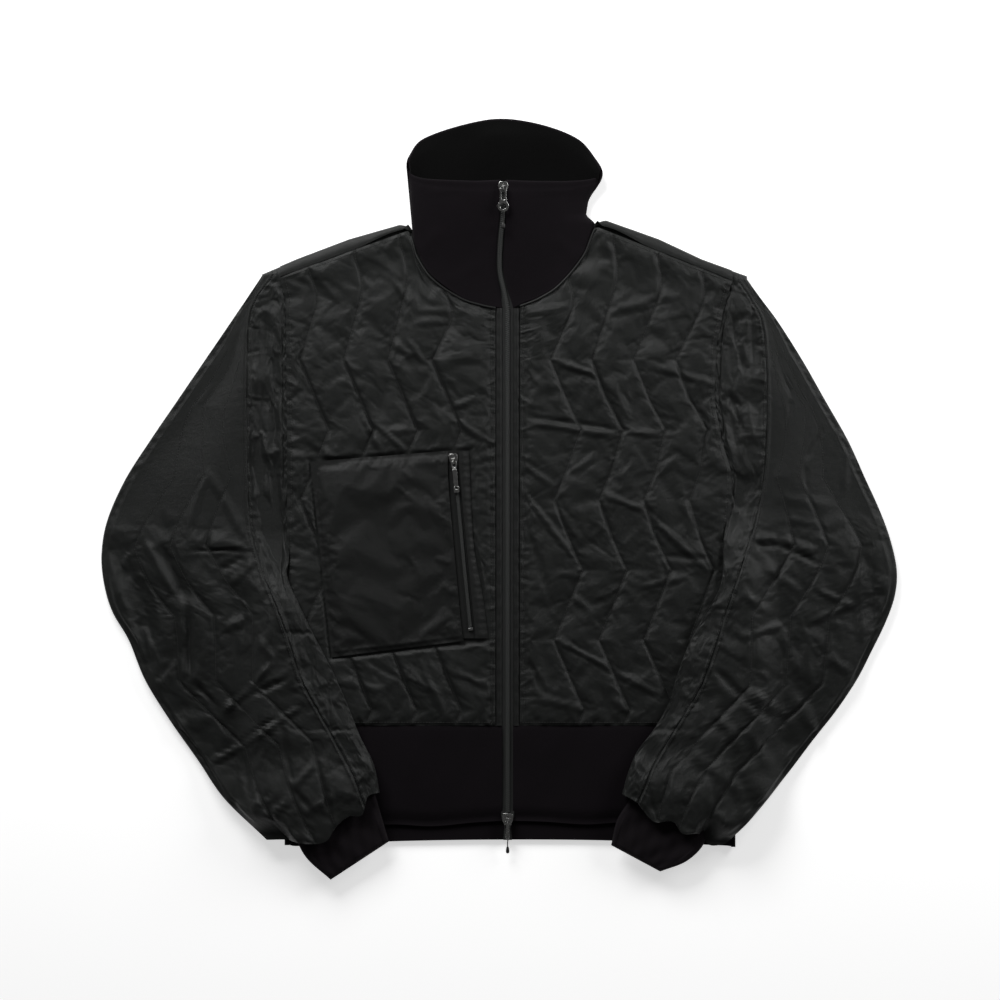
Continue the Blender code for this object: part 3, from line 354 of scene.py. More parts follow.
def gathers(along, apart, seed, height, reach=9.0, pitch=9.0, width=2.6):
    """Small pleats of chance size that run out from a row of stitches and die away."""
    dice = np.random.default_rng(seed)
    total = np.zeros_like(apart)
    place, end = along.min(), along.max()
    while place < end:
        half = width * dice.uniform(0.6, 1.7)
        long = reach * dice.uniform(0.5, 2.0)
        skew = dice.normal(0.0, 0.35)
        rise = height * dice.uniform(0.3, 1.2) * dice.choice((-0.7, 1.0, 1.0))
        spread = half * (1.0 + 0.6 * apart / long)
        shape = np.clip(1.0 - np.abs(along - place - skew * apart) / spread, 0.0, 1.0)
        total += rise * shape * np.exp(-(apart / long) ** 1.5)
        place += pitch * dice.uniform(0.35, 1.65)
    return total * over(0.0, 1.6, apart)


def settle(grid, held, shrink, pressure, stiff, frames=12):
    """Lets cloth that is a little too large for its stitched lines wrinkle between them."""
    mesh = bpy.data.meshes.new("settling")
    mesh.from_pydata((grid.reshape(-1, 3) * MM).tolist(), [], quads(numbered(grid)))
    sheet = bpy.data.objects.new("settling", mesh)
    bpy.context.scene.collection.objects.link(sheet)
    sheet.vertex_groups.new(name="held").add(np.flatnonzero(held).tolist(), 1.0, "REPLACE")
    change = sheet.modifiers.new("settling", "CLOTH")
    cloth = change.settings
    cloth.quality = 6
    cloth.mass = 0.15
    cloth.tension_stiffness = cloth.compression_stiffness = 20.0
    cloth.shear_stiffness = 8.0
    cloth.bending_stiffness = stiff
    cloth.tension_damping = cloth.compression_damping = cloth.shear_damping = 10.0
    cloth.bending_damping = 0.5
    cloth.air_damping = 2.0
    cloth.use_pressure = True
    cloth.uniform_pressure_force = pressure
    cloth.shrink_min = shrink
    cloth.effector_weights.gravity = 0.0
    cloth.vertex_group_mass = "held"
    change.collision_settings.use_collision = False
    change.point_cache.frame_start = 1
    change.point_cache.frame_end = frames
    for frame_number in range(1, frames + 1):
        bpy.context.scene.frame_set(frame_number)
    result = sheet.evaluated_get(bpy.context.evaluated_depsgraph_get()).to_mesh()
    points = np.empty(grid.size)
    result.vertices.foreach_get("co", points)
    bpy.context.scene.frame_set(1)
    bpy.data.objects.remove(sheet)
    bpy.data.meshes.remove(mesh)
    settled = points.reshape(grid.shape) / MM
    return grid + np.clip(settled - grid, -SETTLE_LIMIT, SETTLE_LIMIT)


# ---------------------------------------------------------------- making meshes

def numbered(grid, first=0):
    """Vertex numbers of a grid, in its rows and columns."""
    return first + np.arange(grid.shape[0] * grid.shape[1]).reshape(grid.shape[:2])


def quads(number):
    """Four-cornered faces between the rows and columns of vertex numbers."""
    corners = (number[:-1, :-1], number[:-1, 1:], number[1:, 1:], number[1:, :-1])
    return np.stack(corners, -1).reshape(-1, 4).tolist()


def rounds(rings):
    """Points and faces of a round skin through rings of points, closed at both ends."""
    number = numbered(rings)
    ahead = np.roll(number, -1, axis=1)
    faces = np.stack([number[:-1], ahead[:-1], ahead[1:], number[1:]], -1).reshape(-1, 4).tolist()
    return rings.reshape(-1, 3), faces + [number[0][::-1].tolist(), number[-1].tolist()]


def make_mesh(name, points, faces, crease=None):
    """A smooth mesh. With a crease angle, its faces turn outward and sharper creases stay sharp."""
    mesh = bpy.data.meshes.new(name)
    mesh.from_pydata((points * MM).tolist(), [], faces)
    if crease:
        shape = bmesh.new()
        shape.from_mesh(mesh)
        bmesh.ops.recalc_face_normals(shape, faces=shape.faces[:])
        shape.to_mesh(mesh)
        shape.free()
    mesh.shade_smooth()
    if crease:
        mesh.set_sharp_from_angle(angle=math.radians(crease))
    return mesh


def add_object(name, mesh, finish, body="jacket", replaces=True):
    """Puts a mesh in the scene, on a body, and in place of the solid of its name."""
    made = bpy.data.objects.new(name, mesh)
    bpy.context.scene.collection.objects.link(made)
    mesh.materials.append(finish)
    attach(made, body)
    if replaces:
        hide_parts(name)


def cloth(name, outer, inner, finish, slot, tube=False, coarse=5, crease=50.0, inside=0.0):
    """A closed cloth wall: a dense outer skin, a plainer inner skin and the edges between them."""
    rows, columns = outer.shape[:2]
    row_at = np.unique(np.round(np.linspace(0, rows - 1, (rows - 1) // coarse + 2)).astype(int))
    column_at = np.unique(np.round(np.linspace(0, columns - 1, (columns - 1) // coarse + 2)).astype(int))
    sparse = np.ix_(row_at, column_at)
    skin = numbered(outer)
    back = numbered(inner[sparse], skin.size)
    points = np.concatenate([outer.reshape(-1, 3), inner[sparse].reshape(-1, 3)])
    faces = quads(skin)
    corners = (back[:-1, :-1], back[1:, :-1], back[1:, 1:], back[:-1, 1:])
    faces += np.stack(corners, -1).reshape(-1, 4).tolist()
    edges = [(skin[0], back[0], column_at, False), (skin[-1], back[-1], column_at, True)]
    if tube:
        faces += [[skin[i, -1], skin[i, 0], skin[i + 1, 0], skin[i + 1, -1]] for i in range(rows - 1)]
        faces += [[back[i, -1], back[i + 1, -1], back[i + 1, 0], back[i, 0]] for i in range(len(row_at) - 1)]
        faces.append([skin[0, -1], skin[0, 0], back[0, 0], back[0, -1]][::-1])
        faces.append([skin[-1, -1], skin[-1, 0], back[-1, 0], back[-1, -1]])
    else:
        edges += [(skin[:, 0], back[:, 0], row_at, True), (skin[:, -1], back[:, -1], row_at, False)]
    for dense, far, at, turned in edges:
        for i, (start, end) in enumerate(zip(at[:-1], at[1:])):
            rim = dense[start:end + 1].tolist() + [far[i + 1], far[i]]
            faces.append(rim if turned else rim[::-1])
    across = np.tile(lengths(outer, 1), (rows, 1))
    down = np.tile(lengths(outer, 0)[:, None], (1, columns))
    cut = np.stack([across, down], -1)
    # A step in the inner skin's flat length marks it for painted shade in the rib finish.
    lining = cut[sparse].reshape(-1, 2) + (0.0, inside / MM)
    cut = np.concatenate([cut.reshape(-1, 2), lining]) * MM
    mesh = make_mesh(name, points, faces, crease)
    corner = np.empty(len(mesh.loops), dtype=np.int64)
    mesh.loops.foreach_get("vertex_index", corner)
    mesh.uv_layers.new(name="cut").uv.foreach_set("vector", cut[corner].astype(np.float32).ravel())
    add_object(name, mesh, finish)


def bead(radius, length):
    """One stitch or small tooth blank: a short four-sided bead along its own X."""
    ring = [(0.0, radius), (radius * 1.15, 0.0), (0.0, -radius * 0.6), (-radius * 1.15, 0.0)]
    points = [(-length / 2.0, 0.0, -radius * 0.3)]
    points += [(place * length, y, z) for place in (-0.28, 0.28) for y, z in ring]
    points.append((length / 2.0, 0.0, -radius * 0.3))
    faces = [(0, 1 + (k + 1) % 4, 1 + k) for k in range(4)]
    faces += [(1 + k, 1 + (k + 1) % 4, 5 + (k + 1) % 4, 5 + k) for k in range(4)]
    faces += [(9, 5 + k, 5 + (k + 1) % 4) for k in range(4)]
    return np.array(points), faces


def block_blank(size, bevel):
    """A rounded block as plain points and faces, for repeating."""
    shape = bmesh.new()
    bmesh.ops.create_cube(shape, size=1.0)
    bmesh.ops.scale(shape, vec=size, verts=shape.verts[:])
    bmesh.ops.bevel(shape, geom=shape.edges[:], offset=bevel, segments=1, profile=0.5, affect="EDGES")
    shape.verts.ensure_lookup_table()
    points = np.array([v.co[:] for v in shape.verts])
    faces = [tuple(v.index for v in face.verts) for face in shape.faces]
    shape.free()
    return points, faces


def copies(name, blank, places, along, finish, replaces):
    """One joined mesh of a blank at many places, its X along one direction and its Z up."""
    points, faces = blank
    along = unit(along)
    side = unit(np.cross(UP, along))
    top = np.cross(along, side)
    turned = (points[None, :, 0:1] * along[:, None] + points[None, :, 1:2] * side[:, None]
              + points[None, :, 2:3] * top[:, None])
    joined = (turned + places[:, None]).reshape(-1, 3)
    every = [tuple(v + k * len(points) for v in face) for k in range(len(places)) for face in faces]
    add_object(name, make_mesh(name, joined, every), finish, replaces=replaces)


def spaced(line, pitch):
    """Places at an even pitch along a line of points, with its direction there."""
    run = np.concatenate([[0.0], np.cumsum(np.linalg.norm(np.diff(line, axis=0), axis=1))])
    at = np.arange(pitch / 2.0, run[-1], pitch)
    spots, ahead, behind = (np.stack([np.interp(at + step, run, line[:, k]) for k in range(3)], -1)
                            for step in (0.0, 0.5, -0.5))
    return spots, ahead - behind


def sew(name, lines, finish):
    """Rows of lock stitches along lines of points."""
    spots, ways = zip(*(spaced(line, STITCH_PITCH) for line in lines if len(line) > 2))
    spots, ways = np.concatenate(spots), np.concatenate(ways)
    copies(name, bead(STITCH_RADIUS, STITCH_PITCH * 0.86), spots + UP * STITCH_LIFT, ways, finish["thread"],
           False)


def swept(line, wide, thick, sides=12):
    """A bar or cord of oval section along a line of points, with closed ends."""
    line = np.array(line, float)
    ways = unit(np.gradient(line, axis=0))
    hint = UP if abs(ways[:, 2]).max() < 0.99 else np.array((1.0, 0.0, 0.0))
    side = unit(np.cross(hint, ways))
    top = np.cross(ways, side)
    turn = np.linspace(0.0, 2.0 * math.pi, sides, endpoint=False)
    return rounds(line[:, None] + wide / 2.0 * np.cos(turn)[None, :, None] * side[:, None]
                  + thick / 2.0 * np.sin(turn)[None, :, None] * top[:, None])


# ---------------------------------------------------------------- finishes

class Value:
    """A socket of a finish. Arithmetic on it adds Math nodes."""

    def __init__(self, finish, socket):
        self.finish = finish
        self.socket = socket

    def __add__(self, other):
        return self.finish.maths("ADD", self, other)

    def __sub__(self, other):
        return self.finish.maths("SUBTRACT", self, other)

    def __rsub__(self, other):
        return self.finish.maths("SUBTRACT", other, self)

    def __mul__(self, other):
        return self.finish.maths("MULTIPLY", self, other)

    __radd__ = __add__
    __rmul__ = __mul__


class Finish:
    """A material made from nodes, round one Principled shader."""

    def __init__(self, name, **fixed):
        self.material = bpy.data.materials.new(name)
        self.material.use_nodes = True
        self.tree = self.material.node_tree
        self.shader = self.tree.nodes["Principled BSDF"]
        for socket, value in fixed.items():
            self.shader.inputs[socket.replace("_", " ")].default_value = value

    def node(self, kind, settings=None, inputs=None, out=0):
        """Adds a node: its settings first, then the values or links of its sockets."""
        made = self.tree.nodes.new(kind)
        for key, value in (settings or {}).items():
            setattr(made, key, value)
        for key, value in (inputs or {}).items():
            if isinstance(value, Value):
                self.tree.links.new(value.socket, made.inputs[key])
            else:
                made.inputs[key].default_value = value
        return Value(self, made.outputs[out])

    def maths(self, operation, first, second):
        return self.node("ShaderNodeMath", {"operation": operation}, {0: first, 1: second})

    def cut(self):
        """Place on the flat cloth, in metres along its width and length."""
        return self.node("ShaderNodeUVMap", {"uv_map": "cut"})

    def place(self):
        """Place on the piece itself, in metres."""
        return self.node("ShaderNodeTexCoord", out=3)

    def apart(self, vector):
        """The first two parts of a place."""
        first = self.node("ShaderNodeSeparateXYZ", inputs={0: vector})
        return first, Value(self, first.socket.node.outputs[1])

    def noise(self, vector, scale, detail=3.0, rough=0.5, stretch=None):
        if stretch:
            vector = self.node("ShaderNodeVectorMath", {"operation": "MULTIPLY"}, {0: vector, 1: stretch})
        return self.node("ShaderNodeTexNoise", None,
                         {"Vector": vector, "Scale": scale, "Detail": detail, "Roughness": rough})

    def wave(self, length, pitch):
        """A sine along a length in metres, from -1 to 1."""
        turns = length * (2.0 * math.pi / (pitch * MM))
        return self.node("ShaderNodeMath", {"operation": "SINE"}, {0: turns})

    def blend(self, share, first, second):
        """A colour from the first to the second."""
        colours = {0: share, 6: (*first, 1.0), 7: (*second, 1.0)}
        return self.node("ShaderNodeMix", {"data_type": "RGBA"}, colours, out=2)

    def feed(self, socket, value):
        self.tree.links.new(value.socket, self.shader.inputs[socket])

    def relief(self, height):
        """A fine relief, its height in millimetres."""
        bump = self.node("ShaderNodeBump", None, {"Height": height, "Distance": MM, "Strength": 1.0})
        self.feed("Normal", bump)


def nylon(name, dark, light, rough, crinkle):
    """Thin satin nylon: near-black with a faint green, a fine plain weave and small crinkles."""
    made = Finish(name, Specular_IOR_Level=0.22, Sheen_Weight=0.05, Sheen_Roughness=0.4)
    flat = made.cut()
    across, down = made.apart(flat)
    weave = made.wave(across, 0.42) * made.wave(down, 0.42)
    broad = made.noise(flat, 9.0, 3.0)
    small = made.noise(flat, 160.0, 4.0, 0.6)
    tiny = made.noise(flat, 900.0, 2.0, 0.6, (1.0, 0.5, 1.0))
    made.feed("Base Color", made.blend(broad * 0.7 + small * 0.3, dark, light))
    made.feed("Roughness", rough + (broad - 0.5) * 0.16 + (small - 0.5) * 0.12)
    made.relief(small * crinkle + tiny * 0.06 + weave * 0.025)
    return made.material


def knit(name, dark, light):
    """Tight rib knit: matt, slightly warm black, with fine wales along its length. Where the flat length
    carries the inside step, as on the collar's inner skin, the colour is held at its dark end as painted
    shade.
    """
    wale, ribs = 1.3, 0.08
    made = Finish(name, Specular_IOR_Level=0.08, Sheen_Weight=0.03, Sheen_Roughness=0.55)
    flat = made.cut()
    across, down = made.apart(flat)
    loops = made.wave(across, wale) * 0.5 + 0.5
    rows = made.wave(down, wale * 0.62) * 0.5 + 0.5
    fuzz = made.noise(flat, 1300.0, 2.0, 0.7)
    broad = made.noise(flat, 14.0, 3.0)
    # Painted shade: the inner skin, marked by the step in its flat length, is given the darkest colour.
    inside = made.maths("GREATER_THAN", down, SHADED_INSIDE_STEP / 2.0)
    made.feed("Base Color", made.blend((broad * 0.6 + fuzz * 0.4 + 0.3) * (1.0 - inside), dark, light))
    made.feed("Roughness", 0.82 + (fuzz - 0.5) * 0.2)
    made.relief(loops * ribs + rows * ribs * 0.35 + fuzz * 0.12)
    return made.material


def woven_tape(name, dark, light):
    """Woven zip tape: a fine herringbone of matt yarn."""
    made = Finish(name, Specular_IOR_Level=0.35, Sheen_Weight=0.15, Sheen_Roughness=0.5)
    flat = made.cut()
    across, down = made.apart(flat)
    twill = made.wave(across + down, 0.9) * 0.5 + made.wave(across - down, 0.9) * 0.5
    fuzz = made.noise(flat, 1500.0, 2.0, 0.6)
    made.feed("Base Color", made.blend(fuzz, dark, light))
    made.feed("Roughness", 0.68 + (fuzz - 0.5) * 0.2)
    made.relief(twill * 0.1 + fuzz * 0.08)
    return made.material


def yarn(name, dark, light):
    """Thread, cord or moulded teeth: one even dark shade with a little grain."""
    made = Finish(name, Specular_IOR_Level=0.4)
    spot = made.place()
    fuzz = made.noise(spot, 2500.0, 2.0, 0.6)
    made.feed("Base Color", made.blend(fuzz, dark, light))
    made.feed("Roughness", 0.5 + (fuzz - 0.5) * 0.3)
    return made.material


def metal(name, dark, light, rough):
    """Dark plated metal, worn brighter in patches."""
    made = Finish(name, Metallic=1.0)
    spot = made.place()
    broad = made.noise(spot, 300.0, 3.0)
    grain = made.noise(spot, 2200.0, 2.0, 0.6)
    made.feed("Base Color", made.blend(broad * 0.8 + grain * 0.2, dark, light))
    made.feed("Roughness", rough + (broad - 0.5) * 0.2 + (grain - 0.5) * 0.12)
    made.relief(grain * 0.02 + broad * 0.03)
    return made.material


def finishes():
    return {
        "quilt": nylon("quilted_nylon", (0.0095, 0.0103, 0.0098), (0.0145, 0.0155, 0.0147), 0.47, 0.34),
        "plain": nylon("plain_nylon", (0.008, 0.0085, 0.0082), (0.0118, 0.0124, 0.0119), 0.48, 0.3),
        # The rib's dark colour is also painted all over the collar's inner skin as shade.
        "rib": knit("rib_knit", (0.0005, 0.0005, 0.0005), (0.0056, 0.0038, 0.0055)),
        "cuff": knit("cuff_knit", (0.0012, 0.0011, 0.0012), (0.0125, 0.0098, 0.012)),
        "tape": woven_tape("woven_tape", (0.008, 0.009, 0.0085), (0.014, 0.015, 0.014)),
        "thread": yarn("sewing_thread", (0.009, 0.0095, 0.009), (0.02, 0.021, 0.02)),
        "teeth": yarn("zip_teeth", (0.016, 0.0172, 0.0166), (0.033, 0.0353, 0.0336)),
        "cord": yarn("pull_cord", (0.011, 0.011, 0.0105), (0.024, 0.024, 0.023)),
        "metal": metal("dark_metal", (0.24, 0.24, 0.235), (0.5, 0.5, 0.49), 0.24),
    }


# ---------------------------------------------------------------- fronts and back

def line_distance(phase, first, last):
    """Distance in pitches to the nearest quilting line numbered from first to last."""
    return np.abs(phase - np.clip(np.round(phase), first, last))


def front_distances():
    """Distances from the zip edge: even steps from the first quilting line on."""
    step = PITCH / PER_PITCH
    lines = FIRST_LINE + step * np.arange(int((FRONT_WIDTH - FIRST_LINE - 1.5) / step) + 1)
    return np.concatenate([[0.0, FIRST_LINE / 2.0], lines, [FRONT_WIDTH]])


def front_levels(side):
    """Levels up the armhole edge, a row of points at each: all quilting corners are among them."""
    low = np.linspace(HEM_SEAM, -3.0 * ZIG_STEP, 6)[:-1]
    middle = np.arange(-3 * PER_ZIG, 2 * PER_ZIG + 1) * ZIG_STEP / PER_ZIG
    high = np.linspace(MORPH_FROM, EDGE[side][0][0], NECK_ROWS + 1)[1:]
    return np.concatenate([low, middle, high])


def front_place(side, distance, level):
    """Across and height of a point of a front, from its distance to the zip edge and its level."""
    zip_edge = ZIP_X + side * (TAPE_HALF + STRIP_WIDTH + GAP)
    edge, top = EDGE[side], TOP[side]
    share = distance / FRONT_WIDTH
    above = np.clip((level - MORPH_FROM) / (edge[0][0] - MORPH_FROM), 0.0, 1.0)
    top_x = top[0][0] + (top[-1][0] - top[0][0]) * share
    top_y = np.where(np.abs(top_x) < abs(top[-3][0]), smooth(top, top_x), straight(top, top_x))
    hold = over(4.0, 34.0, np.minimum(distance, FRONT_WIDTH - distance)) * (1.0 - over(0.5, 1.0, above))
    lean = (zigzag(level / ZIG_STEP) - 0.5) * ZIG_LEAN * hold
    side_edge = straight(edge, np.minimum(level, MORPH_FROM))
    low = zip_edge + (side_edge - zip_edge) * share
    x = low + (top_x - low) * above + lean
    outline = side_edge + (top[-1][0] - side_edge) * above
    x = x + (straight(edge, level) - outline) * over(FRONT_WIDTH - 40.0, FRONT_WIDTH, distance)
    y = np.where(above > 0.0, MORPH_FROM + (top_y - MORPH_FROM) * above, level)
    return x, y


def pocket_bed(x, y):
    """1 under the pocket's patch and strip, falling to 0 just outside them."""
    left = straight(POCKET_LEFT, y)
    right = straight(POCKET_STRIP_OUT, y)
    share = np.clip((x - left) / (right - left), 0.0, 1.0)
    high = POCKET_PATCH_ENDS[0][0] + (POCKET_PATCH_ENDS[1][0] - POCKET_PATCH_ENDS[0][0]) * share
    low = POCKET_PATCH_ENDS[0][1] + (POCKET_PATCH_ENDS[1][1] - POCKET_PATCH_ENDS[0][1]) * share
    apart = np.minimum(np.minimum(x - left, right - x), np.minimum(high - y, y - low))
    return over(-5.0, -0.5, apart)


# Main creases, from one end to the other: x0, y0, x1, y1, half width, height (a trough if below 0).
FRONT_CREASES = {
    -1: [
        (-124, 176, -96, 158, 6, 1.8), (-180, 134, -150, 122, 7, 1.4), (-125, 77, -96, 76, 6, 2.0),
        (-64, 96, -16, 66, 5, 2.2), (-64, 98, -30, 110, 5, 1.8), (-152, 96, -130, 52, 5, 2.0),
        (-134, 82, -104, 54, 4, 2.2), (-72, 150, -20, 160, 9, 1.6), (-100, 176, -84, 150, 5, 1.8),
        (-118, 244, -100, 214, 4, 2.0), (-92, 196, -52, 196, 6, 1.3), (-96, 210, -40, 206, 6, 1.4),
        (-216, 70, -180, 44, 6, 1.8), (-160, 40, -110, 34, 7, 1.4), (-200, 190, -190, 150, 8, 1.3),
        (-60, 130, -40, 104, 5, -1.5), (-180, -196, -120, -212, 7, 1.6), (-120, -186, -60, -214, 7, 1.6),
        (-60, -184, -12, -205, 6, 1.6), (-150, -176, -110, -196, 6, -1.4), (-90, -176, -60, -236, 6, 1.4),
    ],
    1: [
        (60, -152, 127, -188, 5, 2.4), (127, -188, 180, -217, 6, 2.4), (109, 9, 157, -11, 5, 2.2),
        (157, -11, 232, -80, 6, 2.4), (25, 11, 86, -70, 5, 2.2), (58, 154, 110, 136, 5, 2.6),
        (160, 150, 240, 126, 6, 2.2), (25, 92, 139, 75, 5, -2.0), (30, 86, 140, 70, 6, 2.2),
        (139, 75, 192, 71, 5, 1.8), (24, -11, 58, -120, 5, -2.0), (30, -173, 50, -217, 5, -1.8),
        (118, 136, 142, 86, 8, 1.6), (60, 118, 76, 84, 8, 1.4), (25, 204, 78, 214, 6, 1.5),
        (58, -6, 92, -50, 7, 1.8), (62, -80, 96, -84, 6, 1.6), (150, -96, 206, -84, 6, 1.8),
        (100, -110, 140, -94, 7, 1.4), (196, 20, 214, -30, 9, 1.8), (120, 206, 190, 226, 8, 1.4),
        (40, -216, 96, -232, 7, 1.5), (120, -216, 150, -240, 6, 1.5), (24, 40, 58, 16, 5, 1.6),
        (80, 30, 108, 52, 6, 1.4), (128, 20, 150, 44, 6, 1.4), (170, 24, 196, 50, 6, 1.4),
        (76, -100, 100, -124, 6, 1.4), (176, -60, 232, -66, 6, -1.6),
    ],
}


def front(side, finish):
    """A quilted front: folds between its stitched lines, then small creases and gathers along them."""
    distance, level = np.meshgrid(front_distances(), front_levels(side))
    x, y = front_place(side, distance, level)
    off_line = line_distance((distance - FIRST_LINE) / PITCH, 0, FRONT_LINES - 1) * PITCH
    from_edge = np.minimum(distance, FRONT_WIDTH - distance)
    from_end = np.minimum(y - HEM_SEAM, y[-1][None, :] - y)
    apart = np.minimum(np.minimum(off_line, from_edge), from_end)
    z = STITCH_TOP + 2.7 * (1.0 - np.exp(-apart / 5.0))
    folds = 1.7 * paper(x, y, 20 + side, 24.0, 0.5, 1.5) + creases(x, y, FRONT_CREASES[side])
    z += folds * over(0.0, 5.0, apart)
    seam = (from_edge < 0.1) | (from_end < 0.1)
    line = off_line < 0.3
    bed = pocket_bed(x, y) if side < 0 else np.zeros_like(x)
    z = np.where(bed > 0.0, np.minimum(z, POCKET_BED - 1.0 + (z - POCKET_BED + 1.0) * (1.0 - bed)), z)
    z[seam | line] = STITCH_TOP
    held = seam | line | (bed > 0.9)
    grid = fine(settle(np.stack([x, y, z], -1), held, -0.006, 0.15, 0.5, frames=8))
    x, y = grid[..., 0], grid[..., 1]
    distance, level = fine_values(distance), fine_values(level)
    phase = (distance - FIRST_LINE) / PITCH
    signed = (phase - np.clip(np.round(phase), 0, FRONT_LINES - 1)) * PITCH
    off_line = np.abs(signed)
    from_edge = np.minimum(distance, FRONT_WIDTH - distance)
    top_gap = y[-1][None, :] - y
    from_end = np.minimum(y - HEM_SEAM, top_gap)
    apart = np.minimum(np.minimum(off_line, from_edge), from_end)
    bed = pocket_bed(x, y) if side < 0 else np.zeros_like(x)
    loose = 1.0 - bed
    rising = np.clip(np.cos(math.pi * (level / ZIG_STEP + 0.5)) * 2.0 + 0.3, 0.0, 1.0)
    leaning = over(-22.0, -2.5, signed) * over(0.0, -2.5, signed)
    grid[..., 2] += 1.5 * leaning * rising * over(0.0, 26.0, from_edge) * over(0.0, 20.0, from_end) * loose
    small = 1.5 * paper(x, y, 120 + side, 13.0, 0.9, 1.7) + 0.5 * paper(x, y, 220 + side, 6.0, 0.3, 1.6)
    grid[..., 2] += small * over(0.0, 4.0, apart) * loose
    grid[..., 2] += gathers(level, off_line, 31 + side, 0.5, reach=5.0, pitch=11.0) * loose
    grid[..., 2] += gathers(level, from_edge, 41 + side, 1.3, reach=9.0) * loose
    grid[..., 2] += gathers(x, y - HEM_SEAM, 51 + side, 1.3, reach=11.0) * loose
    corner = abs(NECK_CORNER[side])
    on_shoulder = over(corner - 2.0, corner + 6.0, np.abs(x[-1]))[None, :]
    grid[..., 2] += (2.9 * over(30.0, 0.0, top_gap) * on_shoulder
                     + gathers(x, top_gap, 61 + side, 0.7, reach=9.0) * (1.0 - on_shoulder))
    grid[..., 2] = np.clip(grid[..., 2], FRONT_INSIDE + 1.5, BODY_TOP + 2.0)
    grid[..., 2] = np.where(bed > 0.5, np.minimum(grid[..., 2], POCKET_BED - 0.2), grid[..., 2])
    cloth(f"front_{SIDES[side]}", grid, levelled(grid, FRONT_INSIDE), finish["quilt"], "shell")
    return grid


def line_columns():
    """Column of each quilting line in a front's dense grid."""
    return [2 * (2 + k * PER_PITCH) for k in range(FRONT_LINES)]


def back(finish):
    """Flat on the surface, and folded forward over each shoulder to its seam."""
    right, left = TOP[-1], TOP[1]
    neck = (NECK_CORNER[-1], NECK_CORNER[1])
    xs = np.concatenate([np.linspace(right[-1][0], neck[0], 44), np.linspace(neck[0], neck[1], 62)[1:-1],
                         np.linspace(neck[1], left[-1][0], 46)])
    folded = (xs <= neck[0]) | (xs >= neck[1])
    seam = np.where(xs <= neck[0], smooth(right, xs), np.where(xs >= neck[1], smooth(left, xs),
                                                               smooth(BACK_NECK, xs)))
    fold = straight(SHOULDER_FOLD, xs)
    share = (xs - xs[0]) / (xs[-1] - xs[0])
    pairs = np.stack([front_levels(-1), front_levels(1)], -1)[::2]
    highest = pairs[-1]
    rows = []
    for y_right, y_left in pairs:
        above = max(y_right - MORPH_FROM, 0.0) / (highest[0] - MORPH_FROM)
        from_right = straight(EDGE[-1], min(y_right, MORPH_FROM))
        from_left = straight(EDGE[1], min(y_left, MORPH_FROM))
        low = from_right * (1.0 - share) + from_left * share
        reach = np.where(folded, fold - 9.0, seam)
        y = np.full_like(xs, y_right) if above == 0.0 else MORPH_FROM + (reach - MORPH_FROM) * above
        x = low + (xs - low) * above
        edge_right = straight(EDGE[-1], y_right) - x[0]
        edge_left = straight(EDGE[1], y_left) - x[-1]
        x = x + edge_right * over(0.06, 0.0, share) + edge_left * over(0.94, 1.0, share)
        y = y + (y_right - y[0]) * over(0.06, 0.0, share) + (y_left - y[-1]) * over(0.94, 1.0, share)
        rows.append((x, y, np.full_like(xs, y_right)))
    x, y, level = np.array(rows).transpose(1, 0, 2)
    lean = (zigzag(level / ZIG_STEP) - 0.5) * ZIG_LEAN
    off_line = np.abs(np.mod((x - lean) / PITCH + 0.5, 1.0) - 0.5) * PITCH
    from_side = np.minimum(share, 1.0 - share)[None, :] * BACK_WIDTH
    groove = 1.3 * np.exp(-(off_line / 2.6) ** 2) * over(3.0, 20.0, from_side)
    groove += 0.9 * np.abs(paper(x, y, 77, 17.0, 0.6, 1.5)) * over(3.0, 20.0, from_side)
    outer = np.stack([x, y, groove], -1)
    inner = levelled(outer, BACK_WALL)
    roll = through([(0.0, 0.0), (0.35, 0.0), (0.75, 0.16), (1.0, 0.5), (0.8, 0.86), (0.3, 1.0), (0.0, 1.0)],
                   np.linspace(0.0, 6.0, 19)[1:])
    out_more, in_more = [], []
    at_neck = np.exp(-np.minimum(np.abs(xs - neck[0]), np.abs(xs - neck[1])) / 3.0)
    tip = seam + 0.6 + 6.4 * at_neck
    for step, (reach, rise) in enumerate(roll, start=1):
        reach, rise = max(reach, 0.0), min(max(rise, 0.0), 1.0)
        late = over(0.45, 0.8, rise)
        y_out = (fold - 9.0 + 9.0 * reach) * (1.0 - late) + (tip + (fold - tip) * reach) * late
        y_in = (fold - 9.0 + 4.6 * reach) * (1.0 - late) + (tip + (fold - 4.4 - tip) * reach) * late
        y_flat = seam + 0.04 * step
        bump = np.sin(xs * 0.31) * 0.25 + np.sin(xs * 0.13 + 1.0) * 0.35
        out_more.append(np.stack([xs, np.where(folded, y_out, y_flat),
                                  np.where(folded, (12.4 + bump) * rise, 0.0)], -1))
        in_more.append(np.stack([xs, np.where(folded, y_in, y_flat),
                                 np.where(folded, BACK_WALL + 4.6 * rise, BACK_WALL)], -1))
    outer = np.concatenate([outer, np.array(out_more)])
    inner = np.concatenate([inner, np.array(in_more)])
    cloth("back_panel", outer, inner, finish["quilt"], "shell", coarse=3)


# ---------------------------------------------------------------- sleeves

def sleeve_levels(side):
    """Levels of the sleeve's coarse rows: the armhole's own, then even steps to the cuff."""
    top = EDGE[side][0][0]
    levels = [-3 * ZIG_STEP + ROW * k for k in range(5 * ROWS_PER_STEP)] + [MORPH_FROM]
    levels += [MORPH_FROM + (top - MORPH_FROM) * k / MORPH_ROWS for k in range(1, MORPH_ROWS + 1)]
    armhole = [y for y in levels[::-1] if y > UNDERARM[side] - 1.0]
    end = SLEEVE[side][-1][0]
    free = [armhole[-1] + (end - armhole[-1]) * k / FREE_ROWS for k in range(1, FREE_ROWS + 1)]
    return len(armhole), armhole + free


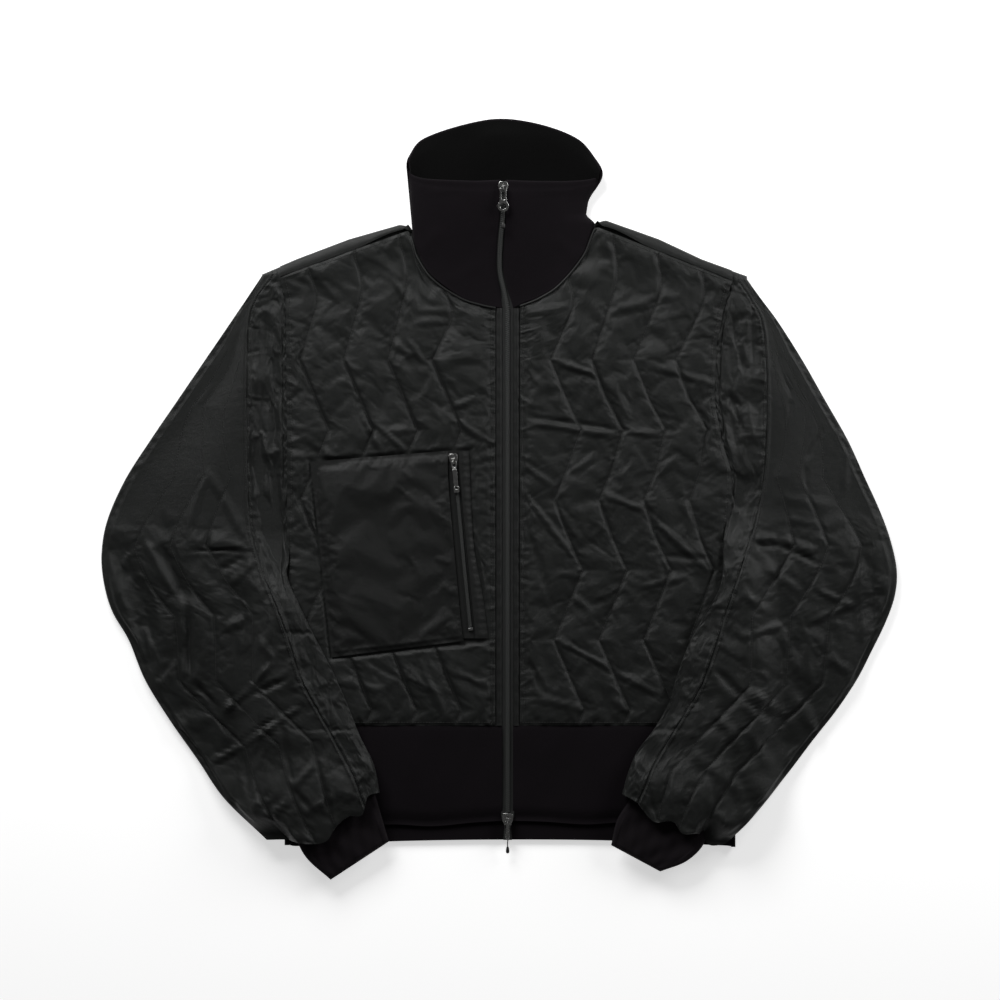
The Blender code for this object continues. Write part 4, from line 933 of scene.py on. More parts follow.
class Sleeve:
    """The lie of one sleeve: where its folds and seam run and what it rests on."""

    def __init__(self, side):
        self.side = side
        self.armhole, levels = sleeve_levels(side)
        self.count = len(levels)
        self.row = np.arange((self.count - 1) * PER_ROW + 1)[:, None] / PER_ROW
        self.station = np.interp(self.row, np.arange(self.count), levels)
        table = SLEEVE[side]
        read = [smooth([(r[0], r[k]) for r in table], self.station) for k in range(1, 6)]
        edge = straight(EDGE[side], self.station) - side * 0.5
        inner_x = np.where(self.row < self.armhole - 1 + 0.01, edge, read[0])
        blend = over(self.armhole - 1.0, self.armhole + 0.5, self.row)
        inner_x = np.where(self.row > self.armhole - 1, edge * (1.0 - blend) + read[0] * blend, inner_x)
        inner_x = inner_x - side * 4.5 * np.exp(-((self.station - UNDERARM[side] + 17.0) / 20.0) ** 2)
        self.inner = np.stack([inner_x, self.station], -1)
        self.seam = np.stack([read[1], read[2]], -1)
        self.outer = np.stack([read[3], read[4]], -1)
        self.first = np.linalg.norm(self.seam - self.outer, axis=-1)
        self.width = np.linalg.norm(self.inner - self.seam, axis=-1)
        self.whole = self.first + self.width
        self.free = over(self.armhole - 1.0, self.armhole + 1.0, self.row)
        self.lift = CUFF_ROOM * over(self.count - 4.0, self.count - 2.0, self.row)
        self.lap = np.minimum(FOLD_LAP, self.first * 0.5)
        self.tall = SLEEVE_INSIDE + SLEEVE_STITCH + self.lift
        upper = over(225.0, 110.0, self.station)
        self.ridge = (6.0 if side < 0 else 2.5) * upper * over(-300.0, -150.0, self.station)

    def support(self, x, y):
        """Height of what the sleeve lies on: the surface, or the body under its lower half."""
        edge = np.abs(straight(EDGE[self.side], np.maximum(y, HEM_SEAM)))
        start = UNDERARM[self.side] + 2.0
        height = ON_BODY + (ON_RIB - ON_BODY) * over(HEM_SEAM - 4.0, HEM_SEAM - 34.0, y)
        ramp = 1.0 - over(0.0, 44.0, np.abs(x) - edge - 10.0)
        return height * ramp * over(start + 16.0, start - 96.0, y)

    def point(self, distance, z):
        """Points at distances from the outer fold, along the line outer - seam - inner."""
        to_seam = (self.seam - self.outer) / self.first[..., None]
        to_inner = (self.inner - self.seam) / self.width[..., None]
        first = self.first[..., None]
        past = np.maximum(distance[..., None] - first, 0.0)
        spot = self.outer + to_seam * np.minimum(distance[..., None], first) + to_inner * past
        along = self.inner - self.outer
        along = along / np.linalg.norm(along, axis=-1, keepdims=True)
        down = np.stack([along[..., 1], -along[..., 0]], -1) * np.sign(along[..., 0:1])
        share = np.clip(distance / self.whole, 0.0, 1.0)
        drop = smooth(END_DROP[self.side], share) * np.clip((self.row - (self.count - 4)) / 3.0, 0.0, None)
        spot = spot + down * drop[..., None]
        below = self.support(spot[..., 0], spot[..., 1])
        slope = below / ON_BODY
        slack = RAMP_SLACK * np.sqrt(np.clip(4.0 * slope * (1.0 - slope), 0.0, None))
        slack = np.where(z > SLEEVE_UNDER + 0.1, slack * over(SLEEVE_UNDER, SLEEVE_INSIDE + 1.0, z), 0.0)
        return np.stack([spot[..., 0], spot[..., 1], z + below + slack], -1)


def nose(outer, inner):
    """Rounds a sleeve's grids down to the surface along the shoulder fold, in 8 more rows."""
    edge, lining = outer[:1], inner[:1]
    reach = np.maximum(straight(SHOULDER_FOLD, edge[..., 0]) - edge[..., 1], 1.2)
    turns = np.linspace(math.pi / 2.0, 0.0, 8)[:-1, None]
    rounded = np.concatenate([edge] * len(turns))
    rounded[..., 1] += reach * np.sin(turns)
    rounded[..., 2] *= np.cos(turns) ** 0.8
    flap = rounded[:1].copy()
    flap[..., 1] = edge[..., 1] - 1.5
    under = np.concatenate([lining] * (len(turns) + 1))
    under[1:, :, 1] += (reach * 0.5) * np.sin(turns)
    under[..., 2] = np.minimum(under[..., 2], SLEEVE_INSIDE)
    return np.concatenate([flap, rounded, outer]), np.concatenate([under, inner])


SLEEVE_CREASES = {
    -1: [
        (-346, -42, -272, -50, 13, 1.8), (-340, -55, -268, -56, 3.0, -3.2), (-322, 34, -276, -46, 8, 2.0),
        (-322, 34, -346, -40, 8, 1.8), (-312, -80, -276, -60, 5, -3.0), (-300, -96, -268, -66, 6, 2.4),
        (-414, -50, -380, -160, 15, -7.0), (-374, -46, -343, -116, 12, -6.0), (-390, -44, -352, -112, 7, 3.4),
        (-430, -60, -400, -160, 8, 3.4), (-343, -110, -341, -200, 6, -3.6), (-350, -112, -350, -206, 7, 2.6),
        (-332, -110, -322, -196, 9, 2.0), (-336, -200, -308, -230, 5, -3.2), (-280, -92, -281, -160, 7, -2.6),
        (-306, -234, -274, -207, 5, 3.8), (-276, -208, -248, -176, 5, 3.8), (-276, -216, -230, -194, 5, -3.4),
        (-318, -288, -282, -270, 5, 3.4), (-284, -270, -240, -242, 5, 3.4), (-242, -242, -218, -226, 5, 3.0),
        (-284, -264, -242, -236, 4, -2.4), (-283, -274, -273, -332, 6, -3.0),
        (-238, -250, -230, -306, 6, -2.6), (-230, -318, -202, -288, 6, 2.8),
        (-226, -316, -202, -344, 5, -2.8), (-262, -354, -228, -326, 6, 2.8),
        (-276, -334, -246, -326, 5, 2.4), (-216, -342, -174, -320, 7, 2.2), (-312, -232, -300, -268, 8, 2.2),
        (-300, -140, -262, -120, 8, 1.8), (-268, -150, -244, -176, 7, 2.0), (-390, -150, -366, -222, 9, 2.2),
        (-404, -120, -378, -196, 7, -2.8), (-360, -236, -330, -282, 10, 1.8),
    ],
    1: [
        (278, -42, 306, -41, 6, 3.6), (306, -41, 350, -58, 7, 3.6), (280, -51, 308, -50, 4, -3.6),
        (306, -50, 350, -70, 4, -3.6), (234, -184, 268, -219, 7, -4.4), (268, -219, 302, -243, 6, -3.6),
        (270, -205, 320, -241, 5, 3.2), (262, -151, 314, -136, 6, 2.6), (336, -136, 390, -112, 6, 2.6),
        (346, -98, 390, -117, 5, 2.4), (394, -62, 398, -164, 7, 3.0), (410, -66, 413, -156, 9, -4.4),
        (306, -140, 332, -196, 8, 2.8), (242, -338, 239, -386, 6, 3.0), (200, -268, 268, -322, 9, 2.4),
        (356, -172, 384, -188, 9, 2.4), (335, -150, 341, -202, 7, 2.2), (286, -70, 330, -100, 7, 2.2),
        (262, -100, 300, -126, 7, 2.0), (268, -246, 300, -300, 9, 2.2), (230, -230, 262, -262, 8, 2.4),
        (322, -214, 352, -262, 10, 2.2), (250, -282, 286, -352, 8, -2.4), (226, -300, 230, -350, 6, 2.2),
        (308, 146, 322, 112, 5, -1.2), (322, 112, 312, 84, 5, -1.0), (356, 80, 335, 40, 5, -1.3),
        (335, 40, 337, 8, 5, -1.1), (382, 60, 378, 6, 6, 1.2), (300, 4, 372, -8, 9, 1.6),
        (306, -20, 372, -30, 7, 1.6),
    ],
}
STRIP_CREASES = {
    -1: [
        (-256, 216, -260, 116, 7, -3.6), (-260, 134, -268, 40, 9, -6.5), (-268, 66, -261, -24, 10, -9.0),
        (-264, 4, -246, -66, 10, -9.0), (-250, -36, -234, -108, 7, -8.0), (-270, 160, -266, 96, 5, 1.8),
        (-242, 120, -244, 40, 6, 1.6), (-266, 60, -262, 0, 6, 1.6), (-248, -60, -226, -150, 8, 1.8),
    ],
    1: [
        (254, 208, 271, 132, 5, -2.8), (276, 216, 281, 132, 5, -2.6), (254, 120, 268, 70, 5, -3.0),
        (248, 132, 250, 94, 5, 2.0), (262, 196, 266, 150, 6, 2.0), (262, 60, 276, 20, 7, 1.8),
        (272, 110, 280, 60, 6, 1.8), (258, 40, 262, -10, 6, -2.2), (256, -60, 236, -140, 8, 1.8),
    ],
}


def sleeve_top(lie, finish):
    """The top side, from under the outer fold to the double-stitched seam, quilted in lines along the arm."""
    side = lie.side
    lap, tall, first = lie.lap, lie.tall, lie.first
    wide = over(20.0, 70.0, first)
    bend = np.linspace(0.0, 5.0, BEND_POINTS + 1)[:-1]
    start = lap * 0.55
    fold_d = np.concatenate([lap, lap * 0.35, lap * 0.06, 0.0 * lap, lap * 0.1, start], axis=1)
    fold_z = np.concatenate([0.0 * tall, 0.0 * tall, tall * 0.25, tall * 0.5, tall * 0.82, tall], axis=1)
    inner_d = np.concatenate([lap, lap * 0.5, lap * 0.32, lap * 0.3, lap * 0.34, start], axis=1)
    inside = SLEEVE_INSIDE + lie.lift
    under = 0.0 * lap + SLEEVE_UNDER
    turned_up = under + 0.15 + lie.lift * 0.5
    inner_z = np.concatenate([under, under, under + 0.05, turned_up, inside, inside], axis=1)
    bends = [np.stack([through(row[:, None], bend)[:, 0] for row in table]) for table in
             (fold_d, fold_z, inner_d, inner_z)]
    phase = np.linspace(0.0, 1.0, SLEEVE_LINES * PER_SLEEVE_LINE + 1)[None, :]
    from_end = (lie.count - 1 - lie.row) * 24.0
    from_edge = np.minimum(phase, 1.0 - phase) * first
    swing = (zigzag(lie.row / ROWS_PER_STEP) - 0.5) * ZIG_LEAN * 0.8 * over(6.0, 34.0, from_edge) * wide
    top_d = start + (first - start) * phase + swing
    distance = np.concatenate([bends[0], top_d], axis=1)
    height = np.concatenate([np.clip(bends[1], 0.0, None), tall + 0.0 * top_d], axis=1)
    grid = lie.point(distance, height)
    in_d = np.concatenate([bends[2], top_d], axis=1)
    in_z = np.concatenate([bends[3], inside + 0.0 * top_d], axis=1)
    inner = lie.point(in_d, in_z)
    top = (slice(None), slice(BEND_POINTS, None))
    x, y = grid[top][..., 0], grid[top][..., 1]
    off_line = line_distance(phase * SLEEVE_LINES + 0.0 * top_d, 1, SLEEVE_LINES - 1) * first / SLEEVE_LINES
    to_seam = (1.0 - phase) * first
    apart = np.minimum(np.minimum(off_line, to_seam), from_end + 0.0 * top_d)
    worked = 0.06 + 0.94 * over(0.0, -60.0, y) if side < 0 else 0.1 + 0.9 * over(0.0, -55.0, y)
    crown = 7.0 * over(0.0, 1.0, (top_d - start) / 95.0) * np.minimum(first / 110.0, 1.0)
    crown = crown * over(0.0, 90.0, from_end)
    crown = crown + (lie.ridge - crown) * over(0.45, 1.0, phase)
    grid[top + (2,)] += crown
    relief = SLEEVE_RELIEF * (1.0 - np.exp(-apart / 5.0)) * wide * worked
    big = creases(x, y, SLEEVE_CREASES[side]) * (0.9 if side < 0 else 0.8)
    facets = 3.0 * paper(x, y, 60 + side, 26.0, 0.4 * side, 1.4)
    relief += (big + facets * worked) * over(0.0, 5.0, apart) * wide
    grid[top + (2,)] += relief
    held = np.zeros(grid.shape[:2], bool)
    held[:, :BEND_POINTS - 3] = True
    held[:, -1] = held[0] = held[-1] = True
    held[top] |= (off_line < 0.3) & (wide > 0.5)
    calm = np.concatenate([0.0 * bends[0] + 1.0, worked + 0.0 * top_d], axis=1)[..., None]
    grid = grid + (settle(grid, held, -0.006, 0.15, 0.5, frames=8) - grid) * calm
    grid, inner = fine(grid), fine(inner)
    x, y = grid[..., 0], grid[..., 1]
    along = finer(lie.station, 0)[:, 0][:, None] + 0.0 * x
    reach = fine_values(np.concatenate([99.0 + 0.0 * bends[0], to_seam], axis=1))
    line_gap = fine_values(np.concatenate([0.0 * bends[0], apart], axis=1))
    end_gap = finer(from_end, 0) + 0.0 * x
    edge = over(0.0, 30.0, finer(lie.first, 0))
    grow = finer(np.concatenate([np.zeros(BEND_POINTS), phase[0]])[None, :, None], 1)[..., 0]
    share = fine_values(np.concatenate([0.0 * bends[0], worked + 0.0 * apart], axis=1))
    small = 1.9 * paper(x, y, 160 + side, 14.0, 1.0, 1.7) + 0.6 * paper(x, y, 260 + side, 6.5, 0.5, 1.6)
    grid[..., 2] += small * over(0.0, 4.0, line_gap) * share * edge
    pleats = gathers(along, np.clip(reach, 0.0, None), 71 + side, 0.9, reach=8.0)
    grid[..., 2] += pleats * edge * (0.2 + 0.8 * share)
    grid[..., 2] += 1.2 * np.exp(-((reach - 2.2) / 1.8) ** 2) * edge
    grid[..., 2] += gathers(x, end_gap, 75 + side, 2.2, reach=20.0, pitch=13.0, width=4.5)
    closing = over(24.0, 3.0, end_gap) * over(0.34, 0.2, grow)
    below = lie.support(grid[..., 0], grid[..., 1]) + SLEEVE_UNDER
    grid[..., 2] -= closing * np.maximum(grid[..., 2] - below - 2.8, 0.0)
    inner[..., 2] -= closing * np.maximum(inner[..., 2] - below - 0.5, 0.0)
    top_fold = 2 * BEND_POINTS
    lowest = inner[:, top_fold:, 2] + 1.0
    grid[:, top_fold:, 2] = np.maximum(grid[:, top_fold:, 2], lowest)
    grid[..., 2] = np.maximum(grid[..., 2], 0.0)
    grid, inner = nose(grid, inner)
    cloth(f"sleeve_{SIDES[side]}_top", grid, inner, finish["quilt"], "shell")
    return grid


def sleeve_front(lie, finish):
    """The strip from the double-stitched seam to the armhole, and below the underarm round the inner fold."""
    side = lie.side
    joined = [(0.0, 0.0), (0.14, 2.2), (0.36, 3.0), (0.55, 0.4), (0.68, -1.4), (0.84, 2.0)]
    loose = [(0.0, 0.0), (0.14, 2.4), (0.36, 3.6), (0.55, 3.8), (0.68, 3.2), (0.84, 1.8)]
    first, width, free, tall = lie.first, lie.width, lie.free, lie.tall
    inside = SLEEVE_INSIDE + lie.lift
    flat = over(10.0, 40.0, width)
    uneven = 1.0 - 0.2 * np.abs(np.sin(lie.row * 1.3))
    out_d, out_z, in_d, in_z = [], [], [], []
    for (t, shut), (_, open_) in zip(joined, loose):
        rise = (shut + (open_ - shut) * free) * flat * uneven
        distance = first + GAP + (width - GAP) * t * (1.0 - 0.12 * free)
        out_d.append(distance)
        out_z.append(tall + rise)
        in_d.append(distance)
        in_z.append(inside)
    bend_out = [(3.0, tall * 0.95), (0.4, tall * 0.76), (0.0, tall * 0.5), (0.6, tall * 0.22),
                (4.0, 0.0 * tall), (INNER_LAP, 0.0 * tall)]
    bend_in = [(4.6, inside), (4.3, SLEEVE_INSIDE - 0.05 + lie.lift * 0.8),
               (4.1, SLEEVE_INSIDE - 0.12 + lie.lift * 0.5), (4.3, SLEEVE_UNDER + 0.05 + 0.0 * tall),
               (4.9, SLEEVE_UNDER + 0.0 * tall), (INNER_LAP, SLEEVE_UNDER + 0.0 * tall)]
    for k, ((d_free, z_free), (i_free, iz_free)) in enumerate(zip(bend_out, bend_in)):
        edge = width * 0.12 * (1.0 - 0.2 * k)
        out_d.append(lie.whole - (edge + (d_free - edge) * free))
        out_z.append(tall + (z_free - tall) * free)
        in_d.append(lie.whole - (edge + (i_free - edge) * free))
        in_z.append(SLEEVE_INSIDE + (iz_free - SLEEVE_INSIDE) * free)
    at = np.concatenate([np.linspace(0.0, 5.0, 21)[:-1], np.linspace(5.0, 11.0, 19)])
    d_out, z_out, d_in, z_in = (
        np.stack([through(row[:, None], at)[:, 0] for row in np.concatenate(table, axis=1)])
        for table in (out_d, out_z, in_d, in_z))
    grid = lie.point(d_out, np.clip(z_out, 0.0, None))
    inner = lie.point(d_in, z_in)
    x, y = grid[..., 0], grid[..., 1]
    face = (over(0.0, 1.0, at) * over(5.6, 4.4, at))[None, :] * flat
    grid[..., 2] += lie.ridge * over(1.3, 0.0, at)[None, :]
    grid[..., 2] += (creases(x, y, STRIP_CREASES[side]) + 2.4 * paper(x, y, 90 + side, 15.0, 0.1, 2.4)) * face
    held = np.zeros(grid.shape[:2], bool)
    held[:, 0] = held[:, -1] = held[0] = held[-1] = True
    held |= (at > 7.0)[None, :] & (free > 0.5)
    grid = settle(grid, held, -0.01, 0.1, 0.5, frames=8)
    grid, inner = fine(grid), fine(inner)
    x, y = grid[..., 0], grid[..., 1]
    index = finer(at[:, None], 0)[:, 0]
    along = finer(lie.station, 0)[:, 0][:, None] + 0.0 * x
    seam_gap = (index * 0.14)[None, :] * finer(width, 0)
    edge_gap = (11.0 - index)[None, :] * 4.0 + 0.0 * along
    near = over(6.5, 5.0, index)[None, :] * over(0.0, 20.0, finer(width, 0))
    grid[..., 2] += gathers(along, seam_gap, 93 + side, 1.0, reach=8.0, pitch=8.0) * near
    grid[..., 2] += 0.9 * np.exp(-((seam_gap - 2.6) / 1.6) ** 2) * near
    small = 1.3 * paper(x, y, 190 + side, 9.0, 0.2, 2.0) * over(0.0, 3.0, seam_gap)
    grid[..., 2] += small * near
    shut = over(0.6, 0.0, finer(free, 0))
    grid[..., 2] += gathers(along, edge_gap, 96 + side, 1.2, reach=9.0, pitch=8.0) * shut
    face_columns = index < 6.0
    lowest = inner[:, face_columns, 2] + 0.8
    grid[:, face_columns, 2] = np.maximum(grid[:, face_columns, 2], lowest)
    grid[..., 2] = np.maximum(grid[..., 2], 0.0)
    grid, inner = nose(grid, inner)
    cloth(f"sleeve_{SIDES[side]}_front", grid, inner, finish["quilt"], "shell", coarse=4)
    return grid


def sleeve_under(lie, finish):
    """The under side, from the outer fold's lap to the inner fold, lying on the surface and the body."""
    start = lie.lap + GAP
    end = lie.whole - (INNER_LAP + GAP) * lie.free
    share = np.linspace(0.0, 1.0, 61)[None, :]
    distance = start + (end - start) * share
    grid = lie.point(distance, 0.0 * distance)
    inner = lie.point(distance, SLEEVE_UNDER + 0.0 * distance)
    lean = (zigzag(lie.row / ROWS_PER_STEP) - 0.5) * ZIG_LEAN * 0.8
    off_line = np.abs(np.mod((distance - lean) / 42.0 + 0.5, 1.0) - 0.5) * 42.0
    calm = over(0.0, 0.08, np.minimum(share, 1.0 - share))
    grid[..., 2] += (1.2 * np.exp(-(off_line / 2.4) ** 2)
                     + 0.9 * np.abs(paper(grid[..., 0], grid[..., 1], 83, 17.0, 0.6, 1.5))) * calm
    cloth(f"sleeve_{SIDES[lie.side]}_under", grid[::2], inner[::2], finish["quilt"], "shell", coarse=3)


def cuff(side, finish):
    """A flattened tube of rib, held inside the sleeve's end."""
    section = [(0.0, 0.5), (0.03, 0.86), (0.1, 1.0), (0.28, 1.0), (0.5, 1.0), (0.72, 1.0), (0.9, 1.0),
               (0.97, 0.86), (1.0, 0.5), (0.97, 0.14), (0.9, 0.0), (0.5, 0.0), (0.1, 0.0), (0.03, 0.14)]
    around = through(section + section[:1], np.linspace(0.0, len(section), 141)[:-1])
    u = np.clip(around[:, 0], 0.0, 1.0)[None, :]
    v = np.clip(around[:, 1], 0.0, 1.0)[None, :]
    at = np.linspace(0.0, len(CUFF[side]) - 1.0, 40)
    row = through(CUFF[side], at)
    near, far = row[:, None, 0:2], row[:, None, 2:4]
    under = row[:, 4][:, None]
    width = np.linalg.norm(far - near, axis=-1)
    k = (at * 2.0)[:, None]
    swell = 0.5 * np.sin(u * 9.0 + k * 0.8) * (v > 0.98) * over(1.0, 3.0, k)
    ripple = 0.35 * np.sin(u * 23.0 + k * 1.7) + 0.25 * np.sin(u * 41.0 - k * 2.1)
    swell = swell + ripple * over(0.9, 1.0, v)
    spot = near + (far - near) * u[..., None]
    end = over(0.0, 1.0, (at[-1] - at) / 0.12)[:, None]
    lip = 0.22 + 0.78 * end
    height = 0.5 + (v - 0.5) * lip
    outer = np.concatenate([spot, (under + CUFF_THICK * height + swell * end)[..., None]], -1)
    inset = (CUFF_WALL / width)[..., None]
    spot = near + (far - near) * (inset + (1.0 - 2.0 * inset) * u[..., None])
    inner = np.concatenate([spot, (under + CUFF_WALL + (CUFF_THICK - 2.0 * CUFF_WALL) * v)[..., None]], -1)
    cloth(f"cuff_{SIDES[side]}", outer, inner, finish["cuff"], "rib", tube=True, coarse=2)


# ---------------------------------------------------------------- collar and hem band

def collar_lift(y):
    """How far the collar's front stands up from the neck seam to its top edge."""
    return COLLAR_LIFT * over(NECK_AT_ZIP + 4.0, ZIP_TOP + 20.0, y)


def zip_x(y):
    """Path of the zip: straight up the body, with a slight bow in the collar."""
    bow = smooth([(NECK_AT_ZIP, ZIP_X), (226, 5.4), (253, 0.0), (286, 0.8), (313, 3.2), (360, 3.4)], y)
    return np.where(np.asarray(y) < NECK_AT_ZIP, ZIP_X, bow)


COLLAR_CREASES = [
    (-100, 262, -60, 300, 12, 0.8), (96, 250, 60, 292, 12, 0.8), (-60, 236, -20, 262, 9, 0.5),
    (-80, 338, -36, 341, 6, 0.5), (40, 340, 92, 338, 6, 0.5),
]


def collar(finish):
    """One band round the neck, open at the zip, its folded top edge rounded."""
    entry = through(COLLAR, np.linspace(0.0, len(COLLAR) - 1.0, 241))
    foot, top, into = entry[:, 0:3], entry[:, 3:6], entry[:, [6, 6, 7]] * (1.0, 0.0, 1.0)
    v = np.linspace(0.0, 1.0, 46)[:, None]
    level = NECK_AT_ZIP + GAP + (ZIP_TOP - NECK_AT_ZIP - GAP) * v
    rise = over(0.0, 1.15, v) / over(0.0, 1.15, 1.0)
    body = foot[None] + (top - foot)[None] * v[..., None]
    body[..., 2] = np.maximum(foot[None, :, 2] + (top - foot)[None, :, 2] * rise, 0.0)
    ends = []
    for side in SIDES:
        close = TAPE_HALF + GAP - 2.2 * over(NECK_AT_ZIP + 4.0, NECK_AT_ZIP + 22.0, level)
        end = np.stack([zip_x(level) + side * close, level, STITCH_TOP + collar_lift(level)], -1)
        edge = body[:, :1] if side < 0 else body[:, -1:]
        step = np.linspace(0.0, 1.0, 9)[None, :-1, None]
        ends.append((end + (edge - end) * step)[:, ::-side])
    spots = np.concatenate([ends[0], body, ends[1]], axis=1)
    down = np.tile((0.0, 0.0, -1.0), (8, 1))
    inward = unit(np.concatenate([down, into, down]))
    x, y = spots[..., 0], spots[..., 1]
    front_part = over(-0.2, -0.9, inward[:, 2])[None, :]
    soft = (0.5 * np.sin(x * 0.061 + y * 0.021) + 0.35 * np.sin(x * 0.033 - y * 0.052 + 1.0)) * front_part
    soft += creases(x, y, COLLAR_CREASES) * front_part
    calm = over(0.0, 0.12, v) * over(1.0, 0.86, v)
    back_part = over(0.3, 0.9, inward[:, 2])[None, :]
    spots = spots.copy()
    behind = over(0.0, 0.9, inward[:, 2] + 0.6)[None, :] * (1.0 - front_part)
    spots[..., 2] += 9.0 * over(0.35, 1.0, v) * behind
    pull = 11.0 * over(60.0, 104.0, spots[..., 0]) * over(356.0, 326.0, spots[..., 1])
    spots[..., 0] -= pull * over(303.0, 315.0, spots[..., 1])
    spots[..., 2] += 0.8 * over(22.0, 12.0, np.abs(spots[..., 0] - 2.0)) * over(0.7, 1.0, v)
    outer = spots.copy()
    outer[..., 2] += soft * calm
    seam_dip = 0.6 * np.exp(-((v - 0.955) / 0.012) ** 2)
    outer += inward[None] * seam_dip[..., None] * front_part[..., None]
    inner = spots + inward[None] * COLLAR_WALL
    waves = 1.1 * np.sin(x * 0.075 + y * 0.02) + 0.9 * np.sin(x * 0.04 - y * 0.05 + 2.0)
    waves = waves + 0.8 * paper(x, y, 300, 30.0)
    inner[..., 2] += (waves + 1.0) * back_part * calm
    round_over = np.linspace(0.0, math.pi, 9)[1:-1]
    edge_out, edge_in = outer[-1], inner[-1]
    middle, half = (edge_out + edge_in) / 2.0, (edge_out - edge_in) / 2.0
    up_way = unit(outer[-1] - outer[-3])
    rim = np.stack([middle + half * math.cos(a) + up_way * (2.6 * math.sin(a) - 1.0) for a in round_over])
    outer[-1] -= up_way
    inner[-1] = edge_in - up_way
    outer = np.concatenate([outer, rim])
    inner = np.concatenate([inner, np.tile(inner[-1][None], (len(rim), 1, 1))])
    # The inner skin gets the step in its flat length, so the rib finish paints it dark as shade.
    cloth("collar_rib", outer, inner, finish["rib"], "rib", coarse=1, crease=70.0, inside=SHADED_INSIDE_STEP)


def hem(finish):
    """One band round the hips, open at the zip, its back part a little longer than its front."""
    x, rise, length = through(HEM, np.linspace(0.0, len(HEM) - 1.0, (len(HEM) - 1) * 12 + 1)).T
    rise = np.clip(rise, 0.0, 1.0)
    v = np.linspace(0.0, 1.0, 34)[:, None]
    y = HEM_SEAM - GAP - (length - GAP)[None, :] * v
    front_part = over(0.9, 1.0, rise)[None, :]
    right, left = EDGE[-1][-1][1], EDGE[1][-1][1]
    z = rise[None, :] * RIB_TOP + (0.35 * np.sin(x * 0.06 + v * 3.0) - 0.35) * front_part
    z = z + (0.3 * np.sin(x * 0.13 + v * 5.0) * np.sin(v * math.pi) - 0.5 * np.exp(-v / 0.02)) * front_part
    inside = x + (HEM_WALL + 0.5) * (over(right + 12.0, right, x) - over(left - 12.0, left, x))
    inner_z = RIB_TOP / 2.0 + (rise - 0.5) * (RIB_TOP - 2.0 * HEM_WALL)
    droop = over(0.84, 1.0, v) * front_part
    z = z - 3.5 * droop
    end = over(1.0, 0.97, v)
    edge_z = (1.0 - end) * front_part * (RIB_TOP - HEM_WALL / 2.0) * 0.65
    z = z * (0.35 + 0.65 * end) * front_part + z * (1.0 - front_part) + edge_z
    outer = np.stack([x + 0.0 * y, y, z], -1)
    inner = np.stack([inside + 0.0 * y, y, inner_z - 1.7 * droop], -1)
    cloth("hem_rib", outer, inner, finish["rib"], "rib", coarse=2, crease=60.0)


# ---------------------------------------------------------------- zips

def flat_band(name, path, offsets, levels, finish, slot, crown=0.0, columns=5, wrinkle=0.0, narrow=1.0):
    """A narrow strip along a path of points, between two offsets and two levels above the path."""
    low, high = levels
    offset = np.linspace(*sorted(offsets), columns)[None, :] * narrow
    share = np.linspace(-1.0, 1.0, columns)[None, :]
    x = path[:, 0:1] + offset
    y = path[:, 1:2] + 0.0 * offset
    waves = wrinkle * (np.sin(y * 0.9) * 0.5 + np.sin(y * 0.37 + 1.0)) * (1.0 - share**2)
    z = path[:, 2:3] + high + crown * (1.0 - share**2) + waves
    outer = np.stack([x, y, z], -1)
    inner = np.stack([x, y, path[:, 2:3] + low + 0.0 * offset], -1)
    cloth(name, outer, inner, finish, slot, coarse=2)


def zip_path(low, high):
    """Points up the zip, on the body and on the collar's front."""
    y = np.linspace(low, high, int((high - low) / 3.0) + 2)
    return np.stack([zip_x(y), y, collar_lift(y)], -1)


def teeth(name, line, half, height, pitch, finish):
    """Two rows of moulded teeth that mesh along a line: one from each side in turn."""
    blank = block_blank((pitch * 0.78, half * 1.15, height), 0.28)
    spots, ways = spaced(line, pitch / 2.0)
    turn = np.where(np.arange(len(spots)) % 2 == 0, 1.0, -1.0)[:, None]
    spots = spots + unit(np.cross(UP, ways)) * turn * half * 0.42
    copies(name, blank, spots, ways, finish["teeth"], True)


def front_zip(finish):
    """Tapes narrow below the bottom slider, plain strips beside them and the closed chain."""
    for side, name in SIDES.items():
        path = zip_path(ZIP_END, ZIP_TOP)
        narrow = 0.5 + 0.5 * over(CHAIN_END - 12.0, CHAIN_END - 4.0, path[:, 1:2]) + 0.16 * over(
            ZIP_END + 14.0, ZIP_END, path[:, 1:2])
        flat_band(f"zip_tape_{name}", path, (side * 0.1, side * (TAPE_HALF + 1.6)), (TAPE_LOW, TAPE_TOP),
                  finish["tape"], "tape", narrow=narrow)
        y = np.linspace(HEM_SEAM, NECK_AT_ZIP, 230)
        path = np.stack([0.0 * y + ZIP_X, y, 0.0 * y], -1)
        flat_band(f"strip_{name}", path, (side * (TAPE_HALF + GAP), side * (TAPE_HALF + STRIP_WIDTH)),
                  (FRONT_INSIDE, STRIP_TOP), finish["plain"], "shell", crown=1.6, columns=9, wrinkle=0.16)
    path = zip_path(CHAIN_END, ZIP_TOP - SLIDER_LENGTH)
    path[:, 2] += CHAIN_LOW + CHAIN_THICK / 2.0
    teeth("zip_chain", path, 2.2, CHAIN_THICK, 2.2, finish)


# ---------------------------------------------------------------- sliders and pulls

